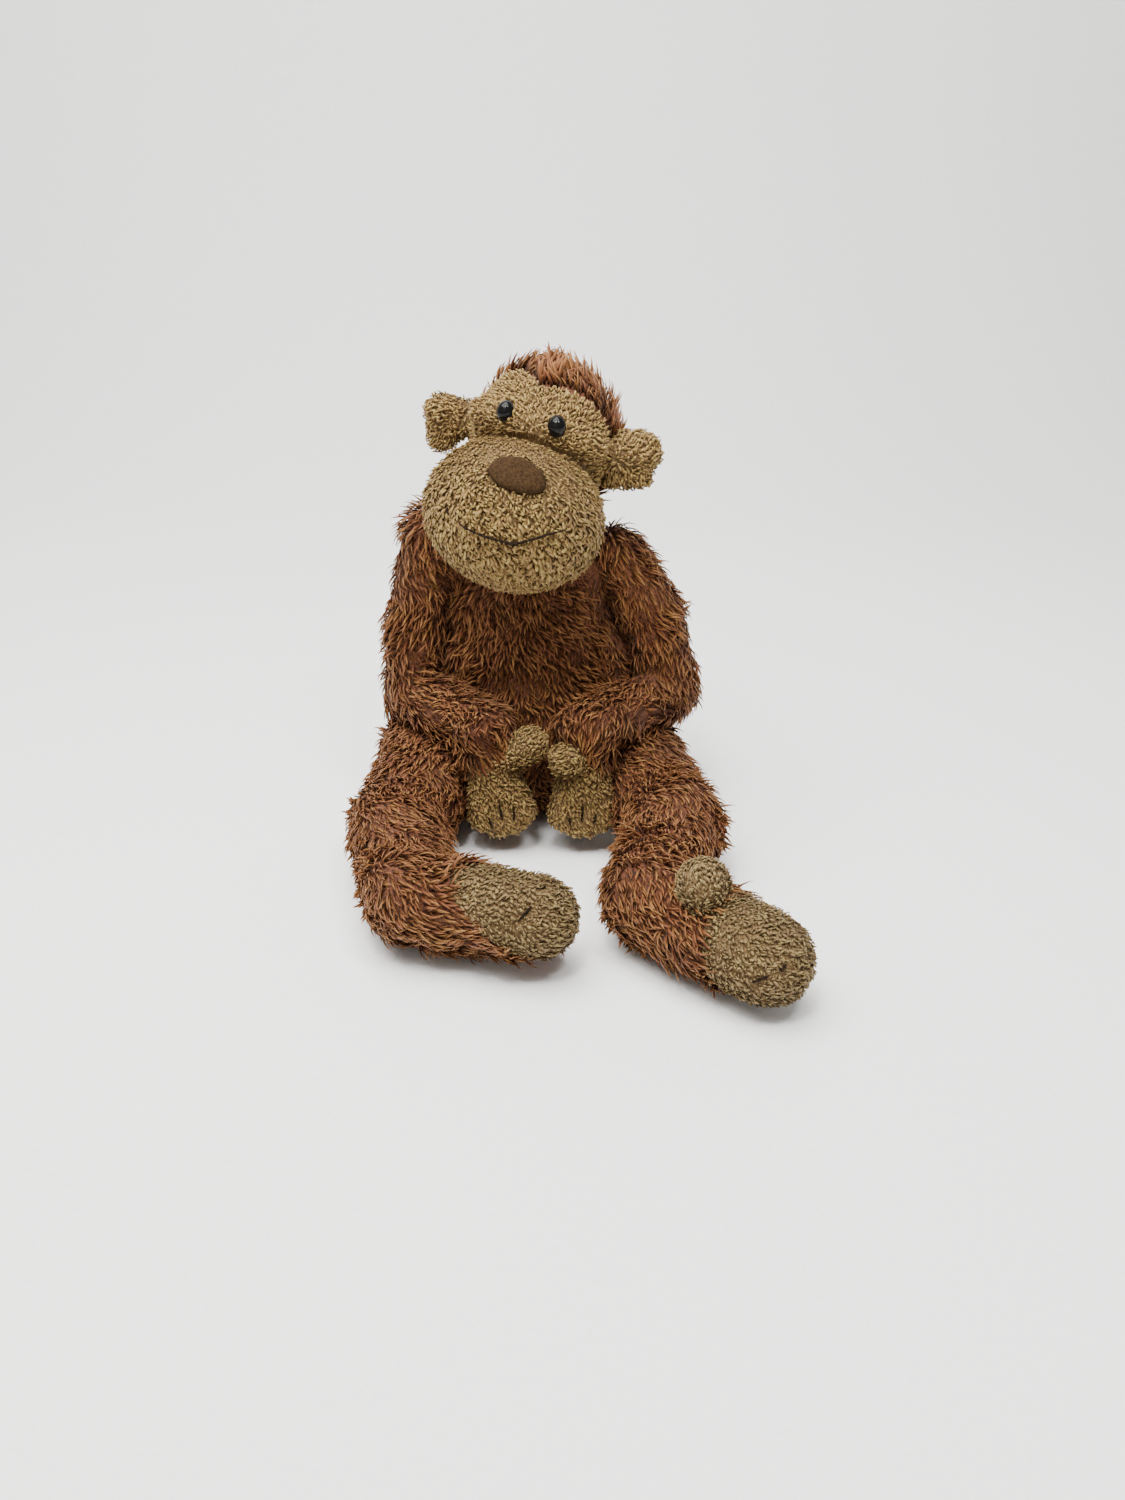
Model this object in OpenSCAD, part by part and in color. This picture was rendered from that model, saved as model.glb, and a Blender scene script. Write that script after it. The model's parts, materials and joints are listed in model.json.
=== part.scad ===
// A floppy stuffed monkey that sits with its legs in front of it and its hands in its lap.
// Every limb is a chain of sewn pile-cloth covers, each closed round its own filling.
// It faces -Y, its own left side is +X, and the origin is under the seat, on the floor.

/* [Torso] */
// Height of the stuffed torso, from the seat to the neck
torso_h = 163; // [145:1:196]
// Radius of the torso at the hips
hip_r = 50.5; // [46:0.5:58]
// Radius of the torso under the shoulders
chest_r = 34; // [30:0.5:40]
// How much higher the right shoulder sits than the left, halved: the torso slumps
slump = 5; // [0:0.5:6]
// Radius of the flat patch that the torso sits on
seat_r = 37; // [30:0.5:42]

/* [Head] */
// Radius of the skull
skull_r = 38; // [32:0.5:44]
// Half the width of the muzzle
muzzle_half_w = 46; // [40:0.5:52]
// Radius of the muzzle seen from the side
muzzle_r = 39; // [33:0.5:43]
// Sideways roll of the head, the monkey's left ear down
head_roll = 12; // [0:1:15]
// Turn of the face towards the monkey's right
head_yaw = -14; // [-18:1:0]
// Radius of an ear
ear_r = 15; // [12:0.5:18]
// Thickness of an ear
ear_t = 9; // [7:0.5:11]
// Diameter of a safety eye's dome
eye_d = 9; // [7:0.5:11]
// Diameter of an eye's shank
shank_d = 2.6; // [2:0.1:3.2]
// Diameter of the washer that locks an eye behind the cloth
washer_d = 12; // [10:0.5:14]
// Width of the nose patch
nose_w = 27; // [22:0.5:32]
// Height of the nose patch
nose_h = 18; // [14:0.5:22]
// Width of the stitched mouth
mouth_w = 50; // [44:1:60]

/* [Arms] */
// Radius of the upper arm at the shoulder
shoulder_r = 16; // [13:0.5:17]
// Radius of the upper arm above the elbow
elbow_r = 14.5; // [12:0.5:16]
// Radius of the forearm
forearm_r = 13.5; // [11:0.5:14]
// Radius of the hand
hand_r = 14; // [11:0.5:15]
// Length of the hand, from the wrist fold to the middle of the fingers
hand_len = 44; // [38:0.5:46]
// Length of the rust sleeve end that belongs to the hand
cuff_len = 15; // [10:0.5:20]
// Radius of a thumb
thumb_r = 8.5; // [7:0.5:9.5]

/* [Legs] */
// Radius of the thigh's sewn root in the hip
hip_ball_r = 24; // [20:0.5:26]
// Radius of the leg at the knee
knee_r = 27.5; // [24:0.5:29]
// Radius of the leg at the ankle
ankle_r = 26; // [22:0.5:27]
// Radius of the foot at the toes
toe_r = 22.5; // [18:0.5:24]
// Length of the thigh, hip fold to knee fold
thigh_len = 69; // [60:0.5:84]
// Length of the shin, knee fold to ankle fold
shin_len = 69; // [60:0.5:84]
// Length of the foot, ankle fold to the middle of the toes
foot_len = 62; // [52:0.5:75]
// Radius of a big toe
big_toe_r = 12.5; // [10:0.5:13.5]

/* [Cloth] */
// Thickness of the pile cloth, backing and pressed pile together
cloth_t = 2.5; // [1.5:0.1:3.5]
// Thickness of the suede patch and of the stitched thread
trim_t = 0.9; // [0.6:0.1:1.2]
// Clearance between a cover and its filling
fill_gap = 0.2; // [0.1:0.05:0.4]
// Clearance between two pieces that meet at a fold
fold_gap = 0.8; // [0.6:0.1:1.2]
// Height of the legs' covers above the floor
floor_gap = 0.4; // [0.3:0.1:1]

/* [Hidden] */

$fn = 96;
arc_steps = 7;
far = 400;
RUST = "#a8592a";
TAN = "#bd9c6c";
FILLING = "#f2efe8";
PELLETS = "#d9d4c4";
THREAD = "#2b1d14";

// Side signs: the monkey's right is -X
RIGHT = -1;
LEFT = 1;

// Torso: the belly's widest height, the shoulder line and the axis it is turned about
torso_y = 5;
belly_z = 32;
chest_z = torso_h - 22;

// Hips sit on the torso's flanks, with their middle a little outside its surface
hip_angle = 60;
hip_out = hip_r + 2.7;
knee_z = knee_r + floor_gap;
ankle_z = ankle_r + floor_gap;
function hip(s) = [s * hip_out * sin(hip_angle), torso_y - hip_out * cos(hip_angle), knee_z];

// Rest directions in the floor plane, in degrees from straight ahead, outwards positive
function thigh_turn(s) = 22;
function shin_turn(s) = s == RIGHT ? -13 : -14;
// The feet both point to the monkey's left: the right one inwards, the left one outwards
function foot_turn(s) = s == RIGHT ? -71 : 47;
function toe_z(s) = toe_r + (s == RIGHT ? 7 : 1.5);
function ahead(s, turn) = [s * sin(turn), -cos(turn), 0];
function with_z(p, z) = [p[0], p[1], z];
function knee(s) = with_z(hip(s) + thigh_len * ahead(s, thigh_turn(s)), knee_z);
function ankle(s) = with_z(knee(s) + shin_len * ahead(s, shin_turn(s)), ankle_z);
function toes(s) = with_z(ankle(s) + foot_len * ahead(s, foot_turn(s)), toe_z(s));

// Arms hang from the shoulders, rest their elbows on the hips and their wrists on the thighs
lap_z = 2 * knee_r + floor_gap;
shoulder_z = torso_h - shoulder_r - 3;
arm_lift = 12;
function shoulder_x(s) = chest_r + shoulder_r - (s == RIGHT ? 0.5 : 0.8);
function shoulder(s) = [s * shoulder_x(s), torso_y + 1, shoulder_z - s * slump];
function elbow_x(s) = hip_r + elbow_r + (s == RIGHT ? 4 : 8);
function elbow(s) = [s * elbow_x(s), torso_y - (s == RIGHT ? 15 : 12), lap_z + arm_lift];
function wrist(s) = [s * 26, torso_y - hip_r - 11.5, lap_z + arm_lift];
function finger_dir(s) = s == RIGHT ? [10, -13, -53] : [-8, -13, -53];
function fingertip(s) = wrist(s) + hand_len * unit(finger_dir(s));
function thumb_root(s) = wrist(s) + (cuff_len + 3) * unit(finger_dir(s)) + [0, -1, 0];
function thumb_tip(s) = thumb_root(s) + (s == RIGHT ? [17, -4, 13] : [-5, -8, 2]);

// How far the elbow closes beyond its rest bend, in degrees
elbow_close = 35;

// Head: the skull sits on the neck, the muzzle's middle is low on its front
neck = [0, torso_y, torso_h + 3];
skull = [4, torso_y - 11, torso_h + skull_r + 5];
muzzle = [1, -skull_r, -28.5];
// Backward tilt of the seam between the tan face and the rust back of the head
face_tilt = 24;
// The seam's distance in front of the skull's middle
face_front = 3;
eye_dirs = [[-14.5, -29, 17.3], [10.5, -29, 17.3]];
ear_out = skull_r + 11;
ear_root = skull_r + 3;
// The hollow that the muzzle sweeps in the chest: its room and how far round it goes
muzzle_room = 4.5;
sweep_turn = 76;

function unit(v) = v / norm(v);
function arc(r, z, ra, za, from, to) =
    [for (i = [0:arc_steps]) let (a = from + (to - from) * i / arc_steps) [r + ra * cos(a), z + za * sin(a)]];

// Places a shape that stands on +Z so that it runs from one point towards another
module aim(from, to) {
    d = to - from;
    translate(from) rotate([0, acos(d[2] / norm(d)), atan2(d[1], d[0])]) children();
}

// A round-ended tapered roll from z = 0 to z = len, drawn inside its own surface by inset
module roll(len, r0, r1, inset = 0) {
    start = r0 - inset;
    end = r1 - inset;
    rotate_extrude() polygon(concat(arc(0, 0, start, start, -90, 0), arc(0, len, end, end, 0, 90)));
}

// A stub that is sewn on at z = 0 and has a round end at z = len, grown by a clearance
module stub(len, r, room = 0) {
    out = r + room;
    rotate_extrude() polygon(concat([[0, -room], [out, -room]], arc(0, len, out, out, 0, 90)));
}

// Everything beyond a plane through a point, on the side that a direction points to
module beyond(point, dir) {
    aim(point, point + dir) translate([-far / 2, -far / 2, 0]) cube(far);
}

// A closed cover round the space of children(0), whose inside is children(1)
module cover() {
    difference() {
        children(0);
        children(1);
    }
}

// --- torso ---------------------------------------------------------------------------------

module torso_form(inset) {
    difference() {
        translate([0, torso_y, 0])
            rotate_extrude()
                polygon(concat(
                    [[0, inset]],
                    arc(seat_r, belly_z, hip_r - seat_r - inset, belly_z - inset, -90, 0),
                    arc(0, chest_z, chest_r - inset, torso_h - chest_z - inset, 0, 90)));
        for (s = [RIGHT, LEFT]) {
            aim(hip(s), knee(s)) roll(thigh_len, hip_ball_r, knee_r, -fold_gap - inset);
            translate(shoulder(s)) sphere(shoulder_r + fold_gap + inset);
        }
        muzzle_sweep(inset);
    }
}

// The hollow under the chin, swept round the neck by the muzzle
module muzzle_sweep(inset) {
    at = skull + muzzle;
    reach = norm([at[0] - neck[0], at[1] - neck[1]]);
    translate([neck[0], neck[1], at[2]])
        rotate([0, 0, -90 - sweep_turn])
            rotate_extrude(angle = 2 * sweep_turn)
                translate([reach, 0]) circle(muzzle_r + muzzle_room + inset);
}

module torso_cover() {
    cover() {
        torso_form(0);
        torso_form(cloth_t);
    }
}

module torso_front_panel() {
    color(RUST) difference() {
        torso_cover();
        beyond([0, torso_y, 0], [0, 1, 0]);
    }
}

module torso_back_panel() {
    color(RUST) difference() {
        torso_cover();
        beyond([0, torso_y, 0], [0, -1, 0]);
    }
}

pellet_bag_z = cloth_t + fill_gap;
pellet_bag_h = 12;
pellet_bag_r = 22;
// The bag lies a little behind the torso's axis
pellet_bag_y = torso_y + 8;

module torso_stuffing() {
    color(FILLING) difference() {
        torso_form(cloth_t + fill_gap);
        translate([0, pellet_bag_y, -1])
            cylinder(h = pellet_bag_z + pellet_bag_h + fill_gap + 1, r = pellet_bag_r + fill_gap);
    }
}

// A flat round cloth bag of plastic pellets that weighs down the seat
module seat_pellet_bag() {
    color(PELLETS) translate([0, pellet_bag_y, pellet_bag_z])
        cylinder(h = pellet_bag_h, r = pellet_bag_r);
}

// The gathered collar of cloth and thread between the torso and the head
module neck_gather() {
    color(RUST) translate([neck[0], neck[1], torso_h + fold_gap]) cylinder(h = 2, r1 = 10, r2 = 9);
}

// --- head ----------------------------------------------------------------------------------

module on_head() {
    translate(skull) rotate([0, 0, head_yaw]) rotate([0, head_roll, 0]) children();
}

module skull_cover() {
    cover() {
        sphere(skull_r);
        sphere(skull_r - cloth_t);
    }
}

module eye_axis(side) {
    d = eye_dirs[side];
    aim([0, 0, 0], d) translate([0, 0, skull_r]) children();
}

module face_side(dir) {
    beyond([0, -face_front, 0], dir * [0, -cos(face_tilt), -sin(face_tilt)]);
}

module face_panel() {
    color(TAN) on_head() difference() {
        skull_cover();
        face_side(-1);
        for (side = [0, 1])
            eye_axis(side) translate([0, 0, -skull_r / 2]) cylinder(h = skull_r, d = shank_d + 2 * fill_gap);
    }
}

module head_back_cover() {
    color(RUST) on_head() difference() {
        skull_cover();
        face_side(1);
    }
}

module head_stuffing() {
    color(FILLING) on_head() difference() {
        sphere(skull_r - cloth_t - fill_gap);
        for (side = [0, 1]) eye_axis(side) {
            translate([0, 0, -cloth_t - 3]) cylinder(h = far, d = washer_d + 2 * fill_gap);
            translate([0, 0, -12]) cylinder(h = far, d = shank_d + 2 * fill_gap);
        }
    }
}

// The muzzle is an egg turned about the line between its cheeks
module muzzle_egg(inset) {
    at = muzzle;
    translate(at) rotate([0, 90, 0])
        rotate_extrude() polygon([for (i = [0:2 * arc_steps]) let (a = -90 + 180 * i / (2 * arc_steps))
            [(muzzle_r - inset) * cos(a), (muzzle_half_w - inset) * sin(a)]]);
}

module muzzle_form(inset) {
    difference() {
        muzzle_egg(inset);
        sphere(skull_r + max(inset, 0) + fill_gap);
    }
}

module muzzle_cover() {
    color(TAN) on_head() cover() {
        muzzle_form(0);
        muzzle_form(cloth_t);
    }
}

module muzzle_stuffing() {
    color(FILLING) on_head() muzzle_form(cloth_t + fill_gap);
}

// A thin layer that lies on the muzzle's skin
module on_muzzle_skin() {
    intersection() {
        difference() {
            muzzle_egg(-trim_t);
            muzzle_egg(0);
        }
        children();
    }
}

// The nose looks up this many degrees, and it is set a little askew
nose_rise = 47;
nose_turn = -8;
nose_off = 2.5;

module nose_patch() {
    color("#4a2f1b") on_head() on_muzzle_skin()
        translate(muzzle + [nose_off, 0, 0]) rotate([90 - nose_rise, 0, 0]) rotate([0, 0, nose_turn])
            linear_extrude(far) polygon([for (a = [0:15:345]) [nose_w / 2 * cos(a), nose_h / 2 * sin(a)]]);
}

// The mouth's middle, from the muzzle's: towards the left cheek and down
mouth_at = [6, -1.5];
// The mouth dips this much between its ends, and its left end is this many degrees up
mouth_sag = 7;
mouth_turn = -9;

// One dark thread in a shallow smile: a ring segment pushed through the muzzle's skin
module mouth_stitch() {
    ring_r = (mouth_w * mouth_w / 4 + mouth_sag * mouth_sag) / (2 * mouth_sag);
    color(THREAD) on_head() on_muzzle_skin()
        translate(muzzle + [mouth_at[0], 0, mouth_at[1]]) rotate([90, mouth_turn, 0])
            translate([0, ring_r, 0]) linear_extrude(far) difference() {
                circle(ring_r + trim_t / 2);
                circle(ring_r - trim_t / 2);
                translate([-far, mouth_sag - ring_r]) square(2 * far);
            }
}

// A black dome on a shank, pushed through the face from outside
module eye(side) {
    color("#0c0b0b") on_head() eye_axis(side) {
        difference() {
            translate([0, 0, fill_gap]) sphere(d = eye_d);
            translate([0, 0, fill_gap - eye_d]) cylinder(h = eye_d, d = 2 * eye_d);
        }
        translate([0, 0, -9]) cylinder(h = 9 + 2 * fill_gap, d = shank_d);
    }
}

// A plastic washer that grips the shank behind the cloth
module eye_washer(side) {
    color("white") on_head() eye_axis(side) translate([0, 0, -cloth_t - 2]) difference() {
        cylinder(h = 1.2, d = washer_d);
        translate([0, 0, -1]) cylinder(h = far, d = shank_d + 0.1);
    }
}

module right_eye() { eye(0); }
module left_eye() { eye(1); }
module right_eye_washer() { eye_washer(0); }
module left_eye_washer() { eye_washer(1); }

module ear_form(s, inset) {
    intersection() {
        translate([s * ear_out, 2, 1]) rotate([90, 0, 0]) rotate_extrude()
            polygon(concat(
                [[0, inset - ear_t / 2]],
                arc(ear_r - ear_t / 2, 0, ear_t / 2 - inset, ear_t / 2 - inset, -90, 90),
                [[0, ear_t / 2 - inset]]));
        beyond([s * (ear_root + inset), 0, 0], [s, 0, 0]);
    }
}

module ear_cover(s) {
    color(TAN) on_head() cover() {
        ear_form(s, 0);
        ear_form(s, cloth_t);
    }
}

module ear_wadding(s) {
    color(FILLING) on_head() ear_form(s, cloth_t + fill_gap);
}

module right_ear_cover() { ear_cover(RIGHT); }
module left_ear_cover() { ear_cover(LEFT); }
module right_ear_wadding() { ear_wadding(RIGHT); }
module left_ear_wadding() { ear_wadding(LEFT); }

// --- limbs: each roll starts with a ball in the fold, and ends flat against the next one's ball ---

// The part of a limb that is cut away at its far fold
module fold_cut(pivot, ball_r, back, inset) {
    beyond(pivot + (ball_r + fold_gap + inset) * unit(back), -back);
}

module upper_arm_form(s, inset) {
    sh = shoulder(s);
    el = elbow(s);
    // The elbow closes past a right angle, so this fold is mitred
    open = unit(wrist(s) - el);
    closed = [open[0], open[1] * cos(elbow_close), -open[1] * sin(elbow_close)];
    mitre = [0, 0, 1] - closed[2] * closed;
    difference() {
        aim(sh, el) roll(norm(el - sh), shoulder_r, elbow_r, inset);
        fold_cut(el, forearm_r, mitre, inset);
    }
}

module forearm_form(s, inset) {
    el = elbow(s);
    wr = wrist(s);
    difference() {
        aim(el, wr) roll(norm(wr - el), forearm_r, forearm_r, inset);
        fold_cut(wr, forearm_r, el - wr, inset);
    }
}

module hand_form(s, inset) {
    aim(wrist(s), fingertip(s)) roll(hand_len, forearm_r, hand_r, inset);
}

module thumb_form(s, room) {
    aim(thumb_root(s), thumb_tip(s)) stub(norm(thumb_tip(s) - thumb_root(s)), thumb_r, room);
}

module thigh_form(s, inset) {
    difference() {
        aim(hip(s), knee(s)) roll(thigh_len, hip_ball_r, knee_r, inset);
        fold_cut(knee(s), knee_r, hip(s) - knee(s), inset);
    }
}

module shin_form(s, inset) {
    difference() {
        aim(knee(s), ankle(s)) roll(norm(ankle(s) - knee(s)), knee_r, ankle_r, inset);
        fold_cut(ankle(s), ankle_r, knee(s) - ankle(s), inset);
    }
}

module foot_form(s, inset) {
    aim(ankle(s), toes(s)) roll(norm(toes(s) - ankle(s)), ankle_r, toe_r, inset);
}

// The left big toe stands up, the right one is tucked behind its foot
toe_share = 0.52;
function big_toe_root(s) = ankle(s) + toe_share * (toes(s) - ankle(s));
function big_toe_tip(s) = big_toe_root(s) + (s == RIGHT ? [9, 20, -3] : [2, -7, 26]);

module big_toe_form(s, room) {
    aim(big_toe_root(s), big_toe_tip(s)) stub(norm(big_toe_tip(s) - big_toe_root(s)), big_toe_r, room);
}

module limb_cover(s, part) {
    color(RUST) cover() {
        limb_form(s, part, 0);
        limb_form(s, part, cloth_t);
    }
}

module limb_stuffing(s, part) {
    color(FILLING) limb_form(s, part, cloth_t + fill_gap);
}

module limb_form(s, part, inset) {
    if (part == "upper_arm") upper_arm_form(s, inset);
    if (part == "forearm") forearm_form(s, inset);
    if (part == "thigh") thigh_form(s, inset);
    if (part == "shin") shin_form(s, inset);
}

module right_upper_arm_cover() { limb_cover(RIGHT, "upper_arm"); }
module left_upper_arm_cover() { limb_cover(LEFT, "upper_arm"); }
module right_upper_arm_stuffing() { limb_stuffing(RIGHT, "upper_arm"); }
module left_upper_arm_stuffing() { limb_stuffing(LEFT, "upper_arm"); }
module right_forearm_cover() { limb_cover(RIGHT, "forearm"); }
module left_forearm_cover() { limb_cover(LEFT, "forearm"); }
module right_forearm_stuffing() { limb_stuffing(RIGHT, "forearm"); }
module left_forearm_stuffing() { limb_stuffing(LEFT, "forearm"); }
module right_thigh_cover() { limb_cover(RIGHT, "thigh"); }
module left_thigh_cover() { limb_cover(LEFT, "thigh"); }
module right_thigh_stuffing() { limb_stuffing(RIGHT, "thigh"); }
module left_thigh_stuffing() { limb_stuffing(LEFT, "thigh"); }
module right_shin_cover() { limb_cover(RIGHT, "shin"); }
module left_shin_cover() { limb_cover(LEFT, "shin"); }
module right_shin_stuffing() { limb_stuffing(RIGHT, "shin"); }
module left_shin_stuffing() { limb_stuffing(LEFT, "shin"); }

// --- hands ---------------------------------------------------------------------------------

module hand_cover(s) {
    cover() {
        hand_form(s, 0);
        hand_form(s, cloth_t);
    }
}

// The seam plane across the sleeve, a named distance beyond the wrist fold
module past_cuff(s, dir) {
    d = unit(finger_dir(s));
    beyond(wrist(s) + cuff_len * d, dir * d);
}

// The seam plane along the hand, just behind its middle: the palm faces forwards
module palm_side(s, dir) {
    beyond(wrist(s) + [0, 1, 0], dir * [0, -1, 0.245]);
}

module sleeve_end(s) {
    color(RUST) difference() {
        hand_cover(s);
        past_cuff(s, 1);
        thumb_form(s, fill_gap);
    }
}

module palm(s) {
    color(TAN) difference() {
        hand_cover(s);
        past_cuff(s, -1);
        palm_side(s, -1);
        thumb_form(s, fill_gap);
    }
}

module hand_back(s) {
    color(TAN) difference() {
        hand_cover(s);
        past_cuff(s, -1);
        palm_side(s, 1);
        thumb_form(s, fill_gap);
    }
}

module hand_pellets(s) {
    color(PELLETS) difference() {
        hand_form(s, cloth_t + fill_gap);
        thumb_form(s, fill_gap);
    }
}

module thumb(s) {
    color(TAN) thumb_form(s, 0);
}

// Across the hand, the distance from one finger stitch to the next
finger_pitch = 7;

// Three short threads across the fingertips, on the palm's skin
module finger_stitches(s) {
    d = unit(finger_dir(s));
    color(THREAD) intersection() {
        difference() {
            hand_form(s, -trim_t);
            hand_form(s, 0);
        }
        aim(wrist(s), fingertip(s)) for (k = [-1:1])
            rotate([0, 0, 90])
                translate([k * finger_pitch - trim_t / 2, -far, hand_len + 2]) cube([trim_t, far, far]);
        beyond(fingertip(s) - [0, 3, 0], [0, -1, 0]);
    }
}

module right_sleeve_end() { sleeve_end(RIGHT); }
module left_sleeve_end() { sleeve_end(LEFT); }
module right_palm() { palm(RIGHT); }
module left_palm() { palm(LEFT); }
module right_hand_back() { hand_back(RIGHT); }
module left_hand_back() { hand_back(LEFT); }
module right_hand_pellets() { hand_pellets(RIGHT); }
module left_hand_pellets() { hand_pellets(LEFT); }
module right_thumb() { thumb(RIGHT); }
module left_thumb() { thumb(LEFT); }
module right_finger_stitches() { finger_stitches(RIGHT); }
module left_finger_stitches() { finger_stitches(LEFT); }

// --- feet ----------------------------------------------------------------------------------

// How far along the foot its rust heel ends and its tan sole begins, and how the seam leans
function sole_share(s) = s == RIGHT ? 0.72 : 0.8;
function sole_lean(s) = s == RIGHT ? [0, -0.2, 1] : [0, 0, 0.25];

module foot_cover(s) {
    cover() {
        foot_form(s, 0);
        foot_form(s, cloth_t);
    }
}

// The foot's slanted seam: the tan sole covers the toes and the upper side
module past_heel(s, dir) {
    d = unit(toes(s) - ankle(s));
    beyond(ankle(s) + sole_share(s) * foot_len * d, dir * (d + sole_lean(s)));
}

module foot_sole(s) {
    color(TAN) difference() {
        foot_cover(s);
        past_heel(s, -1);
        big_toe_form(s, fill_gap);
    }
}

module foot_top(s) {
    color(RUST) difference() {
        foot_cover(s);
        past_heel(s, 1);
        big_toe_form(s, fill_gap);
    }
}

module foot_pellets(s) {
    color(PELLETS) difference() {
        foot_form(s, cloth_t + fill_gap);
        big_toe_form(s, fill_gap);
    }
}

module big_toe(s) {
    color(TAN) big_toe_form(s, 0);
}

// Across the foot, the distance from one toe stitch to the next
toe_pitch = 9;

// Three short threads over the toes
module toe_stitches(s) {
    color(THREAD) intersection() {
        difference() {
            foot_form(s, -trim_t);
            foot_form(s, 0);
        }
        aim(ankle(s), toes(s)) for (k = [-1:1])
            translate([-far, k * toe_pitch - trim_t / 2, norm(toes(s) - ankle(s)) + 2])
                cube([far, trim_t, far]);
        beyond(toes(s) + [0, 0, 4], [0, 0, 1]);
    }
}

module right_foot_sole() { foot_sole(RIGHT); }
module left_foot_sole() { foot_sole(LEFT); }
module right_foot_top() { foot_top(RIGHT); }
module left_foot_top() { foot_top(LEFT); }
module right_foot_pellets() { foot_pellets(RIGHT); }
module left_foot_pellets() { foot_pellets(LEFT); }
module right_big_toe() { big_toe(RIGHT); }
module left_big_toe() { big_toe(LEFT); }
module right_toe_stitches() { toe_stitches(RIGHT); }
module left_toe_stitches() { toe_stitches(LEFT); }

torso_front_panel();
torso_back_panel();
torso_stuffing();
seat_pellet_bag();
neck_gather();
face_panel();
head_back_cover();
head_stuffing();
muzzle_cover();
muzzle_stuffing();
nose_patch();
mouth_stitch();
right_eye();
left_eye();
right_eye_washer();
left_eye_washer();
right_ear_cover();
left_ear_cover();
right_ear_wadding();
left_ear_wadding();
right_upper_arm_cover();
left_upper_arm_cover();
right_upper_arm_stuffing();
left_upper_arm_stuffing();
right_forearm_cover();
left_forearm_cover();
right_forearm_stuffing();
left_forearm_stuffing();
right_sleeve_end();
left_sleeve_end();
right_palm();
left_palm();
right_hand_back();
left_hand_back();
right_hand_pellets();
left_hand_pellets();
right_thumb();
left_thumb();
right_finger_stitches();
left_finger_stitches();
right_thigh_cover();
left_thigh_cover();
right_thigh_stuffing();
left_thigh_stuffing();
right_shin_cover();
left_shin_cover();
right_shin_stuffing();
left_shin_stuffing();
right_foot_sole();
left_foot_sole();
right_foot_top();
left_foot_top();
right_foot_pellets();
left_foot_pellets();
right_big_toe();
left_big_toe();
right_toe_stitches();
left_toe_stitches();
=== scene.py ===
# %% [markdown]
# # A floppy stuffed monkey, sewn from pile cloth
# The toy is a set of stuffed cloth rolls that are sewn end to end: a pear-shaped torso, a ball of a
# head with a big muzzle, and long limp limbs. Its cloth is a pile fabric: thousands of soft pointed
# lashes stand on a knitted backing. So the model is made as the toy is. First come the stuffed skins,
# then a Geometry Nodes tree plants the lashes on them, combed the way that a hand has stroked them.

# %% Load the frame
import math

import bmesh
import bpy
import numpy as np
from mathutils import Matrix, Vector
from mathutils.bvhtree import BVHTree
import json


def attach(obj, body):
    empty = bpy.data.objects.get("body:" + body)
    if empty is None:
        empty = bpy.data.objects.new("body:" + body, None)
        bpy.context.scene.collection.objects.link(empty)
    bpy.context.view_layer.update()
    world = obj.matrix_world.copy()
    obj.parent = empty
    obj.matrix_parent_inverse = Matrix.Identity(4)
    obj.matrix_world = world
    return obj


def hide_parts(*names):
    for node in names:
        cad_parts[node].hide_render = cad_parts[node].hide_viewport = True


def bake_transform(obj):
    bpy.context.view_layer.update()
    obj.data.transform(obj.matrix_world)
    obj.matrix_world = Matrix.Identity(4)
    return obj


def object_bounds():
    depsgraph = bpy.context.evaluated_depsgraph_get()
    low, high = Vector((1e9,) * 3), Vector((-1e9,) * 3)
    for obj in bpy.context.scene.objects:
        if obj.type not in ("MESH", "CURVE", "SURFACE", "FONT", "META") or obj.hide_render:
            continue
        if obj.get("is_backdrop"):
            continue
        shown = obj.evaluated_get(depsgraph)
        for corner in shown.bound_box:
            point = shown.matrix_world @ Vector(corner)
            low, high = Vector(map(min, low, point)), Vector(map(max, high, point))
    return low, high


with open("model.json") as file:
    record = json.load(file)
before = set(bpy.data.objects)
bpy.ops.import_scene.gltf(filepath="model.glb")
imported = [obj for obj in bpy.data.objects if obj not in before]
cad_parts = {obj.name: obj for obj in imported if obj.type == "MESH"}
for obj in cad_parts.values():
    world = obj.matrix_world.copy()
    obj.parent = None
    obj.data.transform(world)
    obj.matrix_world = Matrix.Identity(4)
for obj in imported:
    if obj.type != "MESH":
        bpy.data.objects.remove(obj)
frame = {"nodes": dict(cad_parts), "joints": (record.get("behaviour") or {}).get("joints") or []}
cad_low, cad_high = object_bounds()
JOINT = {j["name"]: Vector(j["pos_m"]) for j in frame["joints"]}
MM = 0.001
SIDES = {"right": -1, "left": 1}  # the sign of X on the toy's own right and left
print("CAD box, mm:", [round(v / MM) for v in (*cad_low, *cad_high)])

# %% [markdown]
# ## Camera, floor and light
# The toy is seen from a little above, as it would be on a table. The camera is set by where it stands
# and how far it is turned down, so the same numbers frame it on every run.

# %% Camera
scene = bpy.context.scene
camera = bpy.data.objects.new("camera", bpy.data.cameras.new("camera"))
scene.collection.objects.link(camera)
camera.location = (0.014, -0.647, 0.356)
DOWN = 27  # degrees that the camera looks down by
camera.rotation_euler = (math.radians(90 - DOWN), 0, 0)
camera.data.sensor_fit = "AUTO"
camera.data.sensor_width = 36
camera.data.lens = 30.19
camera.data.clip_start = 0.01
scene.camera = camera


# %% [markdown]
# The ground is one pale sheet that curves up behind the toy, as in a small light tent. It is built as
# a strip of cross-sections: flat, then a quarter turn, then upright.

# %% Floor sheet
def new_object(name, mesh):
    """An object of the scene that holds the mesh or the light."""
    obj = bpy.data.objects.new(name, mesh)
    scene.collection.objects.link(obj)
    return obj


def shade_smooth(mesh):
    mesh.polygons.foreach_set("use_smooth", [True] * len(mesh.polygons))


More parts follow.
